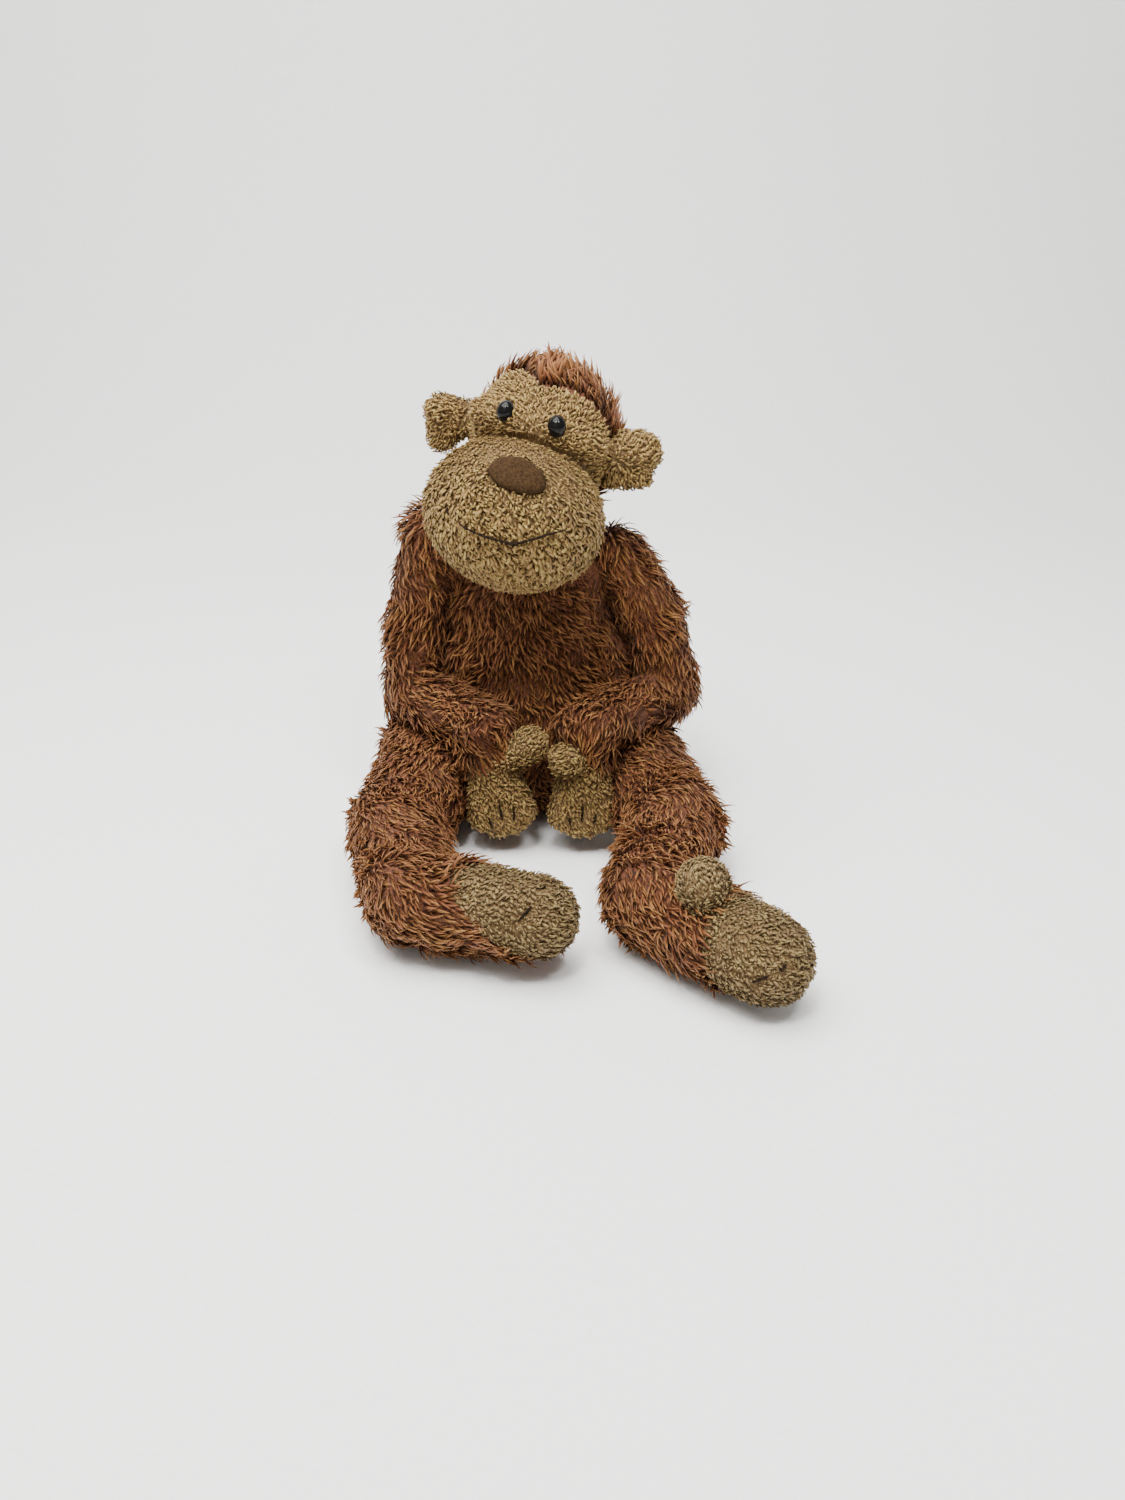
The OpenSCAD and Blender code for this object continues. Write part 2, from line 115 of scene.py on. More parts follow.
def grid_mesh(name, rows):
    """A mesh over rows of points, each row as long as the next."""
    count = len(rows[0])
    verts = [p for row in rows for p in row]
    faces = [
        (r * count + c, r * count + c + 1, (r + 1) * count + c + 1, (r + 1) * count + c)
        for r in range(len(rows) - 1)
        for c in range(count - 1)
    ]
    mesh = bpy.data.meshes.new(name)
    mesh.from_pydata(verts, [], faces)
    shade_smooth(mesh)
    mesh.update()
    return mesh


SHEET_HALF = 3.0
SHEET_BACK = 0.55
SHEET_CURVE = 0.45
SHEET_STEPS = 16
profile = [(-SHEET_HALF, 0.0)]
for step in range(SHEET_STEPS + 1):
    turn = math.radians(90 * step / SHEET_STEPS)
    profile.append((SHEET_BACK + SHEET_CURVE * math.sin(turn), SHEET_CURVE * (1 - math.cos(turn))))
profile.append((SHEET_BACK + SHEET_CURVE, SHEET_HALF))
rows = [[(x, y, z) for x in (-SHEET_HALF, SHEET_HALF)] for y, z in profile]
sheet = new_object("floor_sheet", grid_mesh("floor_sheet", rows))
sheet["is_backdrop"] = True


# %% Soft light
def soft_light(name, place, aim, size, watts, colour):
    """A square area light at place that looks at aim."""
    light = bpy.data.lights.new(name, "AREA")
    light.size = size
    light.energy = watts
    light.color = colour
    obj = new_object(name, light)
    obj.location = place
    obj.rotation_euler = (Vector(aim) - Vector(place)).to_track_quat("-Z", "Y").to_euler()


FACE_AT = (0, -0.05, 0.2)
soft_light("top_light", (-0.28, -0.22, 1.35), (0, -0.06, 0), 1.2, 52, (1.0, 0.985, 0.96))
soft_light("front_light", (-0.7, -1.5, 1.1), (0, 0, 0.1), 1.0, 2, (1.0, 0.98, 0.95))
soft_light("catch_light_a", (-0.10, -0.55, 1.0), FACE_AT, 0.14, 5.0, (1, 1, 1))
soft_light("catch_light_b", (0.30, -0.50, 0.95), FACE_AT, 0.14, 4.0, (1, 1, 1))
world = bpy.data.worlds.new("tent")
scene.world = world
world.use_nodes = True
background = world.node_tree.nodes["Background"].inputs
background["Color"].default_value = (1.0, 0.985, 0.97, 1)
background["Strength"].default_value = 0.30

# %% [markdown]
# ## Where the toy bends
# Every limb is a line of points: the joints of the imported model, and the ends of the hands and feet.
# The skins and the combing of the pile read these same points.

# %% Limb lines
FINGER_REACH = {"right": Vector((10, -13, -53)), "left": Vector((-2, -13, -53))}
FOOT_REACH = {"right": Vector((58.6, -20.2, 3.1)), "left": Vector((48, -46, -1))}
HAND_LEN = 47 * MM
arm_line, leg_line = {}, {}
for side in SIDES:
    joint_names = ("shoulder_swing", "elbow_bend", "wrist_lift")
    shoulder, elbow, wrist = (JOINT[f"{side}_{n}"] for n in joint_names)
    arm_line[side] = [shoulder, elbow, wrist, wrist + FINGER_REACH[side].normalized() * HAND_LEN]
    hip, knee, ankle = (JOINT[f"{side}_{n}"] for n in ("hip_spread", "knee_lift", "ankle_turn"))
    leg_line[side] = [hip, knee, ankle, ankle + FOOT_REACH[side] * MM]
    print(side, "arm, mm:", [tuple(round(c / MM) for c in p) for p in arm_line[side]])


# %% [markdown]
# ## Stuffed skins
# A stuffed limb is a roll with rounded ends. Several rolls are joined by a voxel remesh, which melts
# overlapping closed shells into one skin, and a little smoothing rounds the creases as stuffing does.

# %% Rolls
ROUND = 28  # points round a roll
CAP = 7  # rings on each of its round ends


def frame_on(axis):
    """Two unit vectors across axis."""
    side = Vector((0, 0, 1)).cross(axis)
    if side.length < 0.05:
        side = Vector((0, 1, 0)).cross(axis)
    side.normalize()
    return side, axis.cross(side).normalized()


def add_roll(bm, a, b, ra, rb, wide=1.0, wide_dir=None):
    """Adds a closed roll from a to b, round at both ends, made wider along wide_dir."""
    a, b = Vector(a), Vector(b)
    axis = (b - a).normalized()
    u, v = frame_on(axis)
    if wide_dir is not None:
        u = (Vector(wide_dir) - Vector(wide_dir).dot(axis) * axis).normalized()
        v = axis.cross(u)
    stations = [(a, ra, -90 + 90 * i / CAP) for i in range(1, CAP + 1)]
    stations += [(b, rb, 90 * i / CAP) for i in range(CAP)]
    rings = []
    for centre, radius, lift in stations:
        at = centre + axis * radius * math.sin(math.radians(lift))
        r = radius * math.cos(math.radians(lift))
        rings.append([
            bm.verts.new(at + u * r * wide * math.cos(t) + v * r * math.sin(t))
            for t in (2 * math.pi * k / ROUND for k in range(ROUND))
        ])
    first, last = bm.verts.new(a - axis * ra), bm.verts.new(b + axis * rb)
    for low, high in zip(rings, rings[1:]):
        for k in range(ROUND):
            n = (k + 1) % ROUND
            bm.faces.new((low[k], low[n], high[n], high[k]))
    for k in range(ROUND):
        n = (k + 1) % ROUND
        bm.faces.new((first, rings[0][n], rings[0][k]))
        bm.faces.new((last, rings[-1][k], rings[-1][n]))


def add_egg(bm, centre, radii, turn=None):
    """Adds a closed egg with its own three radii, turned by a matrix."""
    made = bmesh.ops.create_uvsphere(bm, u_segments=ROUND, v_segments=ROUND // 2, radius=1)
    size = Matrix.Diagonal((*radii, 1))
    place = Matrix.Translation(Vector(centre)) @ (turn or Matrix.Identity(4)) @ size
    bmesh.ops.transform(bm, matrix=place, verts=made["verts"])


def baked(obj):
    """The object's mesh with its modifiers applied."""
    graph = bpy.context.evaluated_depsgraph_get()
    return bpy.data.meshes.new_from_object(obj.evaluated_get(graph))


def melted(name, bm, voxel, rounds):
    """One skin from overlapping shells: remeshed at voxel and smoothed."""
    mesh = bpy.data.meshes.new(name)
    bm.to_mesh(mesh)
    bm.free()
    obj = new_object(name, mesh)
    remesh = obj.modifiers.new("melt", "REMESH")
    remesh.mode = "VOXEL"
    remesh.voxel_size = voxel
    remesh.use_smooth_shade = True
    smooth = obj.modifiers.new("round", "SMOOTH")
    smooth.factor = 0.5
    smooth.iterations = rounds
    skin = baked(obj)
    bpy.data.objects.remove(obj)
    skin.name = name
    return skin


def points_of(mesh):
    """The mesh's vertices as an array, in metres."""
    co = np.empty(len(mesh.vertices) * 3, np.float32)
    mesh.vertices.foreach_get("co", co)
    return co.reshape(-1, 3).astype(float)


def set_points(mesh, co):
    mesh.vertices.foreach_set("co", co.astype(np.float32).ravel())
    mesh.update()


def normals_of(mesh):
    normals = np.empty(len(mesh.vertices) * 3, np.float32)
    mesh.vertex_normals.foreach_get("vector", normals)
    return normals.reshape(-1, 3).astype(float)


# %% [markdown]
# A soft thing goes flat where it rests. Points that come near the floor are pressed onto it, and the
# skin keeps the thickness of the flattened pile below it.

# %% Resting on the floor
PRESSED_PILE = 2.2 * MM
PRESS_SOFT = 3 * MM


def settle(mesh):
    """Presses the skin's lowest points flat, softly."""
    co = points_of(mesh)
    above = co[:, 2] - PRESSED_PILE
    eased = PRESS_SOFT * np.exp(np.minimum(above - PRESS_SOFT, 0) / PRESS_SOFT)
    co[:, 2] = PRESSED_PILE + np.where(above > PRESS_SOFT, above, eased)
    set_points(mesh, co)


# %% [markdown]
# ## Combing
# Pile has a direction. Each skin vertex gets a "comb" vector, which is where its lashes lean, and a
# "pile" number, which is how long they are. The direction follows the limb's line, and drifts a
# little down and outwards, because this toy has been stroked and carried about.

# %% Comb and pile length
def line_direction(co, line):
    """For each point, the direction of the nearest stretches of the line, blended."""
    total = np.zeros_like(co)
    for a, b in zip(line, line[1:]):
        a, b = np.array(a), np.array(b)
        along = b - a
        t = np.clip((co - a) @ along / (along @ along), 0, 1)
        distance = np.linalg.norm(co - a - t[:, None] * along, axis=1)
        total += along / np.linalg.norm(along) / (distance[:, None] + 2 * MM) ** 4
    return total / np.maximum(np.linalg.norm(total, axis=1), 1e-9)[:, None]


def drop(mesh, *names):
    """Removes those attributes that the mesh has."""
    for name in names:
        if name in mesh.attributes:
            mesh.attributes.remove(mesh.attributes[name])


def store(mesh, name, values, kind="FLOAT", domain="POINT"):
    """Sets the attribute, in place of an older one of that name."""
    drop(mesh, name)
    attribute = mesh.attributes.new(name, kind, domain)
    field = "vector" if kind == "FLOAT_VECTOR" else "value"
    attribute.data.foreach_set(field, np.asarray(values).ravel())


def comb(mesh, direction, pile=1.0):
    """Stores the lean of the lashes and their length."""
    normals = normals_of(mesh)
    flat = direction - (direction * normals).sum(1)[:, None] * normals
    size = np.linalg.norm(flat, axis=1)[:, None]
    store(mesh, "comb", (flat / np.maximum(size, 0.25)).astype(np.float32), "FLOAT_VECTOR")
    store(mesh, "pile", np.broadcast_to(pile, len(normals)).astype(np.float32))


# %% Cut a skin into panels
def panel(name, skin, *cuts):
    """The part of skin in front of every (point, direction) plane, closed with flat ends.
    The face attribute cloth is True where pile grows, and False on those hidden ends."""
    bm = bmesh.new()
    bm.from_mesh(skin)
    mark = bm.faces.layers.int.new("cut_end")
    for point, direction in cuts:
        made = bmesh.ops.bisect_plane(
            bm, geom=bm.verts[:] + bm.edges[:] + bm.faces[:], plane_co=Vector(point),
            plane_no=Vector(direction), clear_inner=True, dist=1e-7,
        )
        rim = [e for e in made["geom_cut"] if isinstance(e, bmesh.types.BMEdge) and e.is_valid]
        for face in bmesh.ops.holes_fill(bm, edges=rim, sides=0)["faces"]:
            face[mark] = 1
            face.smooth = False
    bmesh.ops.triangulate(bm, faces=[f for f in bm.faces if f[mark]])
    mesh = bpy.data.meshes.new(name)
    bm.to_mesh(mesh)
    bm.free()
    ends = np.empty(len(mesh.polygons), np.int32)
    mesh.attributes["cut_end"].data.foreach_get("value", ends)
    drop(mesh, "cut_end")
    cloth = ends == 0
    if "cloth" in mesh.attributes:
        before = np.empty(len(mesh.polygons), bool)
        mesh.attributes["cloth"].data.foreach_get("value", before)
        cloth &= before
    store(mesh, "cloth", cloth, "BOOLEAN", "FACE")
    return mesh


# %% [markdown]
# ## Planting the pile
# A lash is a bundle of fibres that has drawn itself into a point. One lash is modelled as a
# three-sided spike with a bend, so that it costs only a few faces, and Geometry Nodes plants
# thousands of them. The tree spreads points over the cloth, leans each lash along the comb, varies
# its size, keeps it above the floor, and makes everything real at the end.

# %% Lash shapes
LASH_STEPS = 4
LASH_FLAT = (0.75, 1.35)  # its thickness and its width, as shares of slim


def lash(name, slim, bend, curl, fat=0.35):
    """A closed spike one unit long that grows up, bends towards +X by bend radians and sways by curl.
    slim is its half width, and fat is where along it it is thickest."""
    verts, faces, tips = [], [], []
    at = Vector((0, 0, 0))
    for i in range(LASH_STEPS):
        t = i / LASH_STEPS
        swell = 0.6 + 0.4 * t / fat if t < fat else ((1 - t) / (1 - fat)) ** 0.8
        lean = bend * t
        ahead = Vector((math.sin(lean), curl * math.sin(3 * t), math.cos(lean))).normalized()
        across = Vector((math.cos(lean), 0, -math.sin(lean)))
        for k in range(3):
            a = 2 * math.pi * k / 3
            out = across * math.cos(a) * LASH_FLAT[0] + Vector((0, math.sin(a), 0)) * LASH_FLAT[1]
            verts.append(at + out * slim * swell)
            tips.append(t)
        at = at + ahead / LASH_STEPS
    verts.append(at)
    tips.append(1.0)
    for i in range(LASH_STEPS - 1):
        for k in range(3):
            n = (k + 1) % 3
            faces.append((3 * i + k, 3 * i + n, 3 * i + 3 + n, 3 * i + 3 + k))
    last = 3 * (LASH_STEPS - 1)
    faces += [(last + k, last + (k + 1) % 3, last + 3) for k in range(3)]
    faces.append((2, 1, 0))
    mesh = bpy.data.meshes.new(name)
    mesh.from_pydata(verts, [], faces)
    shade_smooth(mesh)
    store(mesh, "tip", tips)
    mesh.update()
    return mesh


def bank(cloth, *shapes, **look):
    """A collection of lashes that are only ever drawn as instances. A shape is (slim, bend, curl)."""
    collection = bpy.data.collections.new(cloth + "_lashes")
    for letter, shape in zip("abcd", shapes):
        mesh = lash(f"{cloth}_lash_{letter}", *shape, **look)
        collection.objects.link(bpy.data.objects.new(mesh.name, mesh))
    return collection


rust_bank = bank("rust", (0.066, 1.2, 0.20), (0.056, 1.7, -0.40), (0.074, 0.7, 0.30), (0.048, 1.4, 0.60))
tan_bank = bank("tan", (0.145, 1.3, 0.6), (0.165, 2.0, -0.5), (0.125, 0.8, 0.9), fat=0.72)


# %% The tree that plants a pile
def feed(tree, slot, value):
    """Sets the slot to a number or a tuple, or links it to another node's output."""
    if isinstance(value, (int, float, tuple)):
        slot.default_value = value
    elif value is not None:
        tree.links.new(value, slot)


DENSE = 2.2  # roots tried for each square of the spacing
BALD = 0.05  # no lash grows where the pile number is below this
LAIN = 0.12  # what is left of a lash's height once the floor has pressed it flat


def pile_tree():
    """The node tree: cloth in, a planted and combed pile out."""
    tree = bpy.data.node_groups.new("plant_pile", "GeometryNodeTree")
    for name, kind, value in (
        ("Cloth", "Geometry", None), ("Lashes", "Collection", None), ("Spacing", "Float", 1.3 * MM),
        ("Length", "Float", 10 * MM), ("Length Spread", "Float", 0.3), ("Stand", "Float", 0.6),
        ("Unruly", "Float", 0.3), ("Swirl", "Float", 0.4), ("Swirl Size", "Float", 30.0),
        ("Floor", "Float", 0.4 * MM), ("Seed", "Int", 1), ("Finish", "Material", None),
    ):
        made = tree.interface.new_socket(name, in_out="INPUT", socket_type="NodeSocket" + kind)
        if value is not None:
            made.default_value = value
    tree.interface.new_socket("Pile", in_out="OUTPUT", socket_type="NodeSocketGeometry")
    nodes, links = tree.nodes, tree.links
    given = nodes.new("NodeGroupInput")
    out = nodes.new("NodeGroupOutput")

    def node(kind, **settings):
        made = nodes.new(kind)
        for key, value in settings.items():
            setattr(made, key, value)
        return made

    def math_node(operation, a, b):
        made = node("ShaderNodeMath", operation=operation)
        feed(tree, made.inputs[0], a)
        feed(tree, made.inputs[1], b)
        return made.outputs[0]

    def vector_node(operation, a, b=None, scale=None):
        made = node("ShaderNodeVectorMath", operation=operation)
        feed(tree, made.inputs[0], a)
        feed(tree, made.inputs[1], b)
        if scale is not None:
            feed(tree, made.inputs["Scale"], scale)
        return made.outputs[0]

    def named(name, kind):
        made = node("GeometryNodeInputNamedAttribute", data_type=kind)
        made.inputs["Name"].default_value = name
        return made.outputs["Attribute"]

    def scatter(kind, low, high, step):
        """A random value for each lash, from its own seed."""
        made = node("FunctionNodeRandomValue", data_type=kind)
        pair = [s for s in made.inputs if s.name in ("Min", "Max") and s.enabled]
        pair[0].default_value, pair[1].default_value = low, high
        links.new(math_node("ADD", given.outputs["Seed"], step), made.inputs["Seed"])
        return next(s for s in made.outputs if s.enabled)

    plant = node("GeometryNodeDistributePointsOnFaces", distribute_method="POISSON")
    links.new(given.outputs["Cloth"], plant.inputs["Mesh"])
    links.new(named("cloth", "BOOLEAN"), plant.inputs["Selection"])
    links.new(given.outputs["Spacing"], plant.inputs["Distance Min"])
    area = math_node("MULTIPLY", given.outputs["Spacing"], given.outputs["Spacing"])
    links.new(math_node("DIVIDE", DENSE, area), plant.inputs["Density Max"])
    links.new(given.outputs["Seed"], plant.inputs["Seed"])

    keep_normal = node("GeometryNodeStoreNamedAttribute", data_type="FLOAT_VECTOR", domain="POINT")
    keep_normal.inputs["Name"].default_value = "root_normal"
    links.new(plant.outputs["Points"], keep_normal.inputs["Geometry"])
    links.new(plant.outputs["Normal"], keep_normal.inputs["Value"])
    keep_shade = node("GeometryNodeStoreNamedAttribute", data_type="FLOAT", domain="POINT")
    keep_shade.inputs["Name"].default_value = "lash"
    links.new(keep_normal.outputs["Geometry"], keep_shade.inputs["Geometry"])
    links.new(scatter("FLOAT", 0.0, 1.0, 11), keep_shade.inputs["Value"])

    place = node("GeometryNodeInputPosition").outputs[0]
    swirl = node("ShaderNodeTexNoise", noise_dimensions="3D")
    links.new(place, swirl.inputs["Vector"])
    links.new(given.outputs["Swirl Size"], swirl.inputs["Scale"])
    swirl.inputs["Detail"].default_value = 1.0
    drift = vector_node("SUBTRACT", swirl.outputs["Color"], (0.5, 0.5, 0.5))
    drift = vector_node("SCALE", drift, scale=math_node("MULTIPLY", given.outputs["Swirl"], 4.0))
    combed = vector_node("ADD", named("comb", "FLOAT_VECTOR"), drift)
    upright = vector_node("SCALE", named("root_normal", "FLOAT_VECTOR"), scale=given.outputs["Stand"])
    anywhere = scatter("FLOAT_VECTOR", (-1, -1, -1), (1, 1, 1), 23)
    stray = vector_node("SCALE", anywhere, scale=given.outputs["Unruly"])
    growth = vector_node("ADD", vector_node("ADD", combed, upright), stray)

    stand = node("FunctionNodeAlignRotationToVector", axis="Z")
    links.new(growth, stand.inputs["Vector"])
    lean = node("FunctionNodeAlignRotationToVector", axis="X", pivot_axis="Z")
    links.new(stand.outputs["Rotation"], lean.inputs["Rotation"])
    downward = vector_node("SUBTRACT", combed, upright)
    links.new(downward, lean.inputs["Vector"])

    size = math_node("MULTIPLY", given.outputs["Length"], named("pile", "FLOAT"))
    spread = math_node("MULTIPLY", scatter("FLOAT", -1.0, 1.0, 37), given.outputs["Length Spread"])
    size = math_node("MULTIPLY", size, math_node("ADD", 1.0, spread))
    shapes = node("GeometryNodeCollectionInfo")
    shapes.inputs["Separate Children"].default_value = True
    shapes.inputs["Reset Children"].default_value = True
    links.new(given.outputs["Lashes"], shapes.inputs["Collection"])
    grow = node("GeometryNodeInstanceOnPoints")
    grow.inputs["Pick Instance"].default_value = True
    links.new(keep_shade.outputs["Geometry"], grow.inputs["Points"])
    links.new(math_node("GREATER_THAN", named("pile", "FLOAT"), BALD), grow.inputs["Selection"])
    links.new(shapes.outputs["Instances"], grow.inputs["Instance"])
    links.new(lean.outputs["Rotation"], grow.inputs["Rotation"])
    scale = node("ShaderNodeCombineXYZ")
    for slot in scale.inputs:
        links.new(size, slot)
    links.new(scale.outputs[0], grow.inputs["Scale"])

    real = node("GeometryNodeRealizeInstances")
    links.new(grow.outputs["Instances"], real.inputs["Geometry"])
    split = node("ShaderNodeSeparateXYZ")
    links.new(place, split.inputs[0])
    floor = given.outputs["Floor"]
    over = math_node("MAXIMUM", math_node("SUBTRACT", split.outputs["Z"], floor), 0.0)
    under = math_node("MINIMUM", math_node("SUBTRACT", split.outputs["Z"], floor), 0.0)
    lain = math_node("MULTIPLY", under, -LAIN)
    pressed = math_node("ADD", floor, math_node("ADD", over, lain))
    joined = node("ShaderNodeCombineXYZ")
    links.new(split.outputs["X"], joined.inputs["X"])
    links.new(split.outputs["Y"], joined.inputs["Y"])
    links.new(pressed, joined.inputs["Z"])
    press = node("GeometryNodeSetPosition")
    links.new(real.outputs["Geometry"], press.inputs["Geometry"])
    links.new(joined.outputs[0], press.inputs["Position"])
    finish = node("GeometryNodeSetMaterial")
    links.new(press.outputs["Geometry"], finish.inputs["Geometry"])
    links.new(given.outputs["Finish"], finish.inputs["Material"])
    links.new(finish.outputs["Geometry"], out.inputs["Pile"])
    return tree


PLANT = pile_tree()
SOCKET = {item.name: item.identifier for item in PLANT.interface.items_tree if item.in_out == "INPUT"}


def plant_pile(name, cloth, **sizes):
    """Plants a pile on a skin panel and returns it as its own plain mesh object."""
    holder = new_object(name + "_holder", cloth.data)
    modifier = holder.modifiers.new("pile", "NODES")
    modifier.node_group = PLANT
    for key, value in sizes.items():
        modifier[SOCKET[key.replace("_", " ").title()]] = value
    mesh = baked(holder)
    bpy.data.objects.remove(holder)
    mesh.name = name
    drop(mesh, "root_normal", "comb", "pile")
    pile = new_object(name, mesh)
    mesh.calc_loop_triangles()
    print(f"{name}: {len(mesh.loop_triangles)} triangles")
    return pile


# %% [markdown]
# ## Finishes
# Pile cloth is dark where the light can't reach its roots and bright at the silky tips, and both are
# painted into its colour: the root colour is painted shade and the tip colour is a painted sheen.
# One shader group mixes a root, a body and a tip colour along each lash, shifts every lash a little,
# and adds slow patches, because plush wears and soils unevenly. Both the rust and the tan cloth use it.

# %% Shader group: pile colour
SOILED = (0.62, 0.58, 0.55, 1)  # what a worn patch's colour is multiplied by


def shade_group():
    group = bpy.data.node_groups.new("pile_colour", "ShaderNodeTree")
    for name, kind, way in (
        ("Along", "Float", "INPUT"), ("Lash", "Float", "INPUT"), ("Place", "Vector", "INPUT"),
        ("Root", "Color", "INPUT"), ("Body", "Color", "INPUT"), ("Tip", "Color", "INPUT"),
        ("Patches", "Float", "INPUT"), ("Patch Size", "Float", "INPUT"),
        ("Colour", "Color", "OUTPUT"), ("Roughness", "Float", "OUTPUT"),
    ):
        group.interface.new_socket(name, in_out=way, socket_type="NodeSocket" + kind)
    nodes, links = group.nodes, group.links
    given, out = nodes.new("NodeGroupInput"), nodes.new("NodeGroupOutput")

    def mix(factor, a, b, blend="MIX"):
        made = nodes.new("ShaderNodeMix")
        made.data_type = "RGBA"
        made.blend_type = blend
        for number, value in ((0, factor), (6, a), (7, b)):
            feed(group, made.inputs[number], value)
        return made.outputs[2]

    def span(value, a, b, low=0.0, high=1.0):
        made = nodes.new("ShaderNodeMapRange")
        links.new(value, made.inputs["Value"])
        for key, number in (("From Min", a), ("From Max", b), ("To Min", low), ("To Max", high)):
            made.inputs[key].default_value = number
        return made.outputs[0]

    # The root colour is painted shade and the tip colour a painted sheen.
    lower = mix(span(given.outputs["Along"], 0.0, 0.45), given.outputs["Root"], given.outputs["Body"])
    colour = mix(span(given.outputs["Along"], 0.35, 1.0), lower, given.outputs["Tip"])
    tone = nodes.new("ShaderNodeHueSaturation")
    links.new(span(given.outputs["Lash"], 0, 1, 0.488, 0.512), tone.inputs["Hue"])
    links.new(span(given.outputs["Lash"], 0, 1, 0.78, 1.22), tone.inputs["Value"])
    links.new(colour, tone.inputs["Color"])
    patches = nodes.new("ShaderNodeTexNoise")
    links.new(given.outputs["Place"], patches.inputs["Vector"])
    links.new(given.outputs["Patch Size"], patches.inputs["Scale"])
    patches.inputs["Detail"].default_value = 2.0
    depth = nodes.new("ShaderNodeMath")
    depth.operation = "MULTIPLY"
    links.new(span(patches.outputs["Fac"], 0.35, 0.65), depth.inputs[0])
    links.new(given.outputs["Patches"], depth.inputs[1])
    final = mix(depth.outputs[0], tone.outputs["Color"], SOILED, "MULTIPLY")
    links.new(final, out.inputs["Colour"])
    links.new(span(given.outputs["Lash"], 0, 1, 0.45, 0.62), out.inputs["Roughness"])
    return group


PILE_COLOUR = shade_group()


def new_finish(name):
    """A material with its nodes, its links and its main shader."""
    material = bpy.data.materials.new(name)
    material.use_nodes = True
    nodes = material.node_tree.nodes
    return material, nodes, material.node_tree.links, nodes["Principled BSDF"]


def texture(nodes, links, kind, scale):
    """A texture node on the object's own coordinates."""
    place = nodes.new("ShaderNodeTexCoord")
    made = nodes.new(kind)
    made.inputs["Scale"].default_value = scale
    links.new(place.outputs["Object"], made.inputs["Vector"])
    return made


def tint(nodes, links, shader, value, first, last, span=(0.0, 1.0)):
    """Colours the shader from first to last as value runs over the span."""
    ramp = nodes.new("ShaderNodeValToRGB")
    for element, colour, at in zip(ramp.color_ramp.elements, (first, last), span):
        element.color = (*colour, 1)
        element.position = at
    links.new(value, ramp.inputs["Fac"])
    links.new(ramp.outputs["Color"], shader.inputs["Base Color"])


def emboss(nodes, links, shader, height, strength, depth):
    """Adds a fine bump to the shader."""
    bump = nodes.new("ShaderNodeBump")
    bump.inputs["Strength"].default_value = strength
    bump.inputs["Distance"].default_value = depth
    links.new(height, bump.inputs["Height"])
    links.new(bump.outputs["Normal"], shader.inputs["Normal"])


def pile_finish(name, root, body, tip, patches, patch_size, sheen):
    """The finish of a pile, whose lashes carry the attributes tip and lash."""
    material, nodes, links, shader = new_finish(name)
    shader.inputs["Sheen Weight"].default_value = sheen
    shader.inputs["Sheen Roughness"].default_value = 0.4
    shader.inputs["Specular IOR Level"].default_value = 0.12
    colour = nodes.new("ShaderNodeGroup")
    colour.node_tree = PILE_COLOUR
    for key, attribute in (("Along", "tip"), ("Lash", "lash")):
        read = nodes.new("ShaderNodeAttribute")
        read.attribute_name = attribute
        links.new(read.outputs["Fac"], colour.inputs[key])
    place = nodes.new("ShaderNodeTexCoord")
    links.new(place.outputs["Object"], colour.inputs["Place"])
    for key, value in (("Root", root), ("Body", body), ("Tip", tip)):
        colour.inputs[key].default_value = (*value, 1)
    colour.inputs["Patches"].default_value = patches
    colour.inputs["Patch Size"].default_value = patch_size
    links.new(colour.outputs["Colour"], shader.inputs["Base Color"])
    links.new(colour.outputs["Roughness"], shader.inputs["Roughness"])
    return material


def backing_finish(name, dark, light):
    """Knitted backing cloth: tiny loops, as cells in colour and in a bump."""
    material, nodes, links, shader = new_finish(name)
    shader.inputs["Roughness"].default_value = 0.9
    loops = texture(nodes, links, "ShaderNodeTexVoronoi", 700.0)
    tint(nodes, links, shader, loops.outputs["Distance"], light, dark)
    emboss(nodes, links, shader, loops.outputs["Distance"], 0.6, 0.4 * MM)
    return material


# In each pile finish, the root colour is painted shade and the tip colour a painted sheen.
RUST = pile_finish(
    "rust_pile", (0.032, 0.0100, 0.0033), (0.138, 0.050, 0.0155), (0.36, 0.165, 0.066),
    patches=0.40, patch_size=25, sheen=0.03,
)
TAN = pile_finish(
    "tan_pile", (0.110, 0.064, 0.020), (0.245, 0.150, 0.050), (0.385, 0.262, 0.102),
    patches=0.22, patch_size=40, sheen=0.04,
)
TAN_WORN = pile_finish(
    "tan_pile_worn", (0.082, 0.053, 0.021), (0.180, 0.120, 0.050), (0.30, 0.215, 0.100),
    patches=0.5, patch_size=70, sheen=0.03,
)
RUST_BACK = backing_finish("rust_backing", (0.06, 0.018, 0.006), (0.15, 0.045, 0.014))
TAN_BACK = backing_finish("tan_backing", (0.080, 0.045, 0.015), (0.185, 0.110, 0.038))


# %% [markdown]
# ## One padded piece
# Every stuffed piece is finished in the same four steps: it takes its backing finish, it grows its
# pile, both stand for the CAD solids of that piece, and both follow one body or, when a fold is
# given, are baked in place.

# %% Finishing a stuffed piece
RUST_PILE = dict(
    lashes=rust_bank, spacing=1.45 * MM, length=9.2 * MM, swirl=0.85, swirl_size=48.0,
    unruly=0.48, stand=0.75, finish=RUST,
)
TAN_PILE = dict(
    lashes=tan_bank, spacing=1.02 * MM, length=3.3 * MM, stand=1.5, unruly=0.9, swirl=0.5,
    swirl_size=120.0, finish=TAN,
)


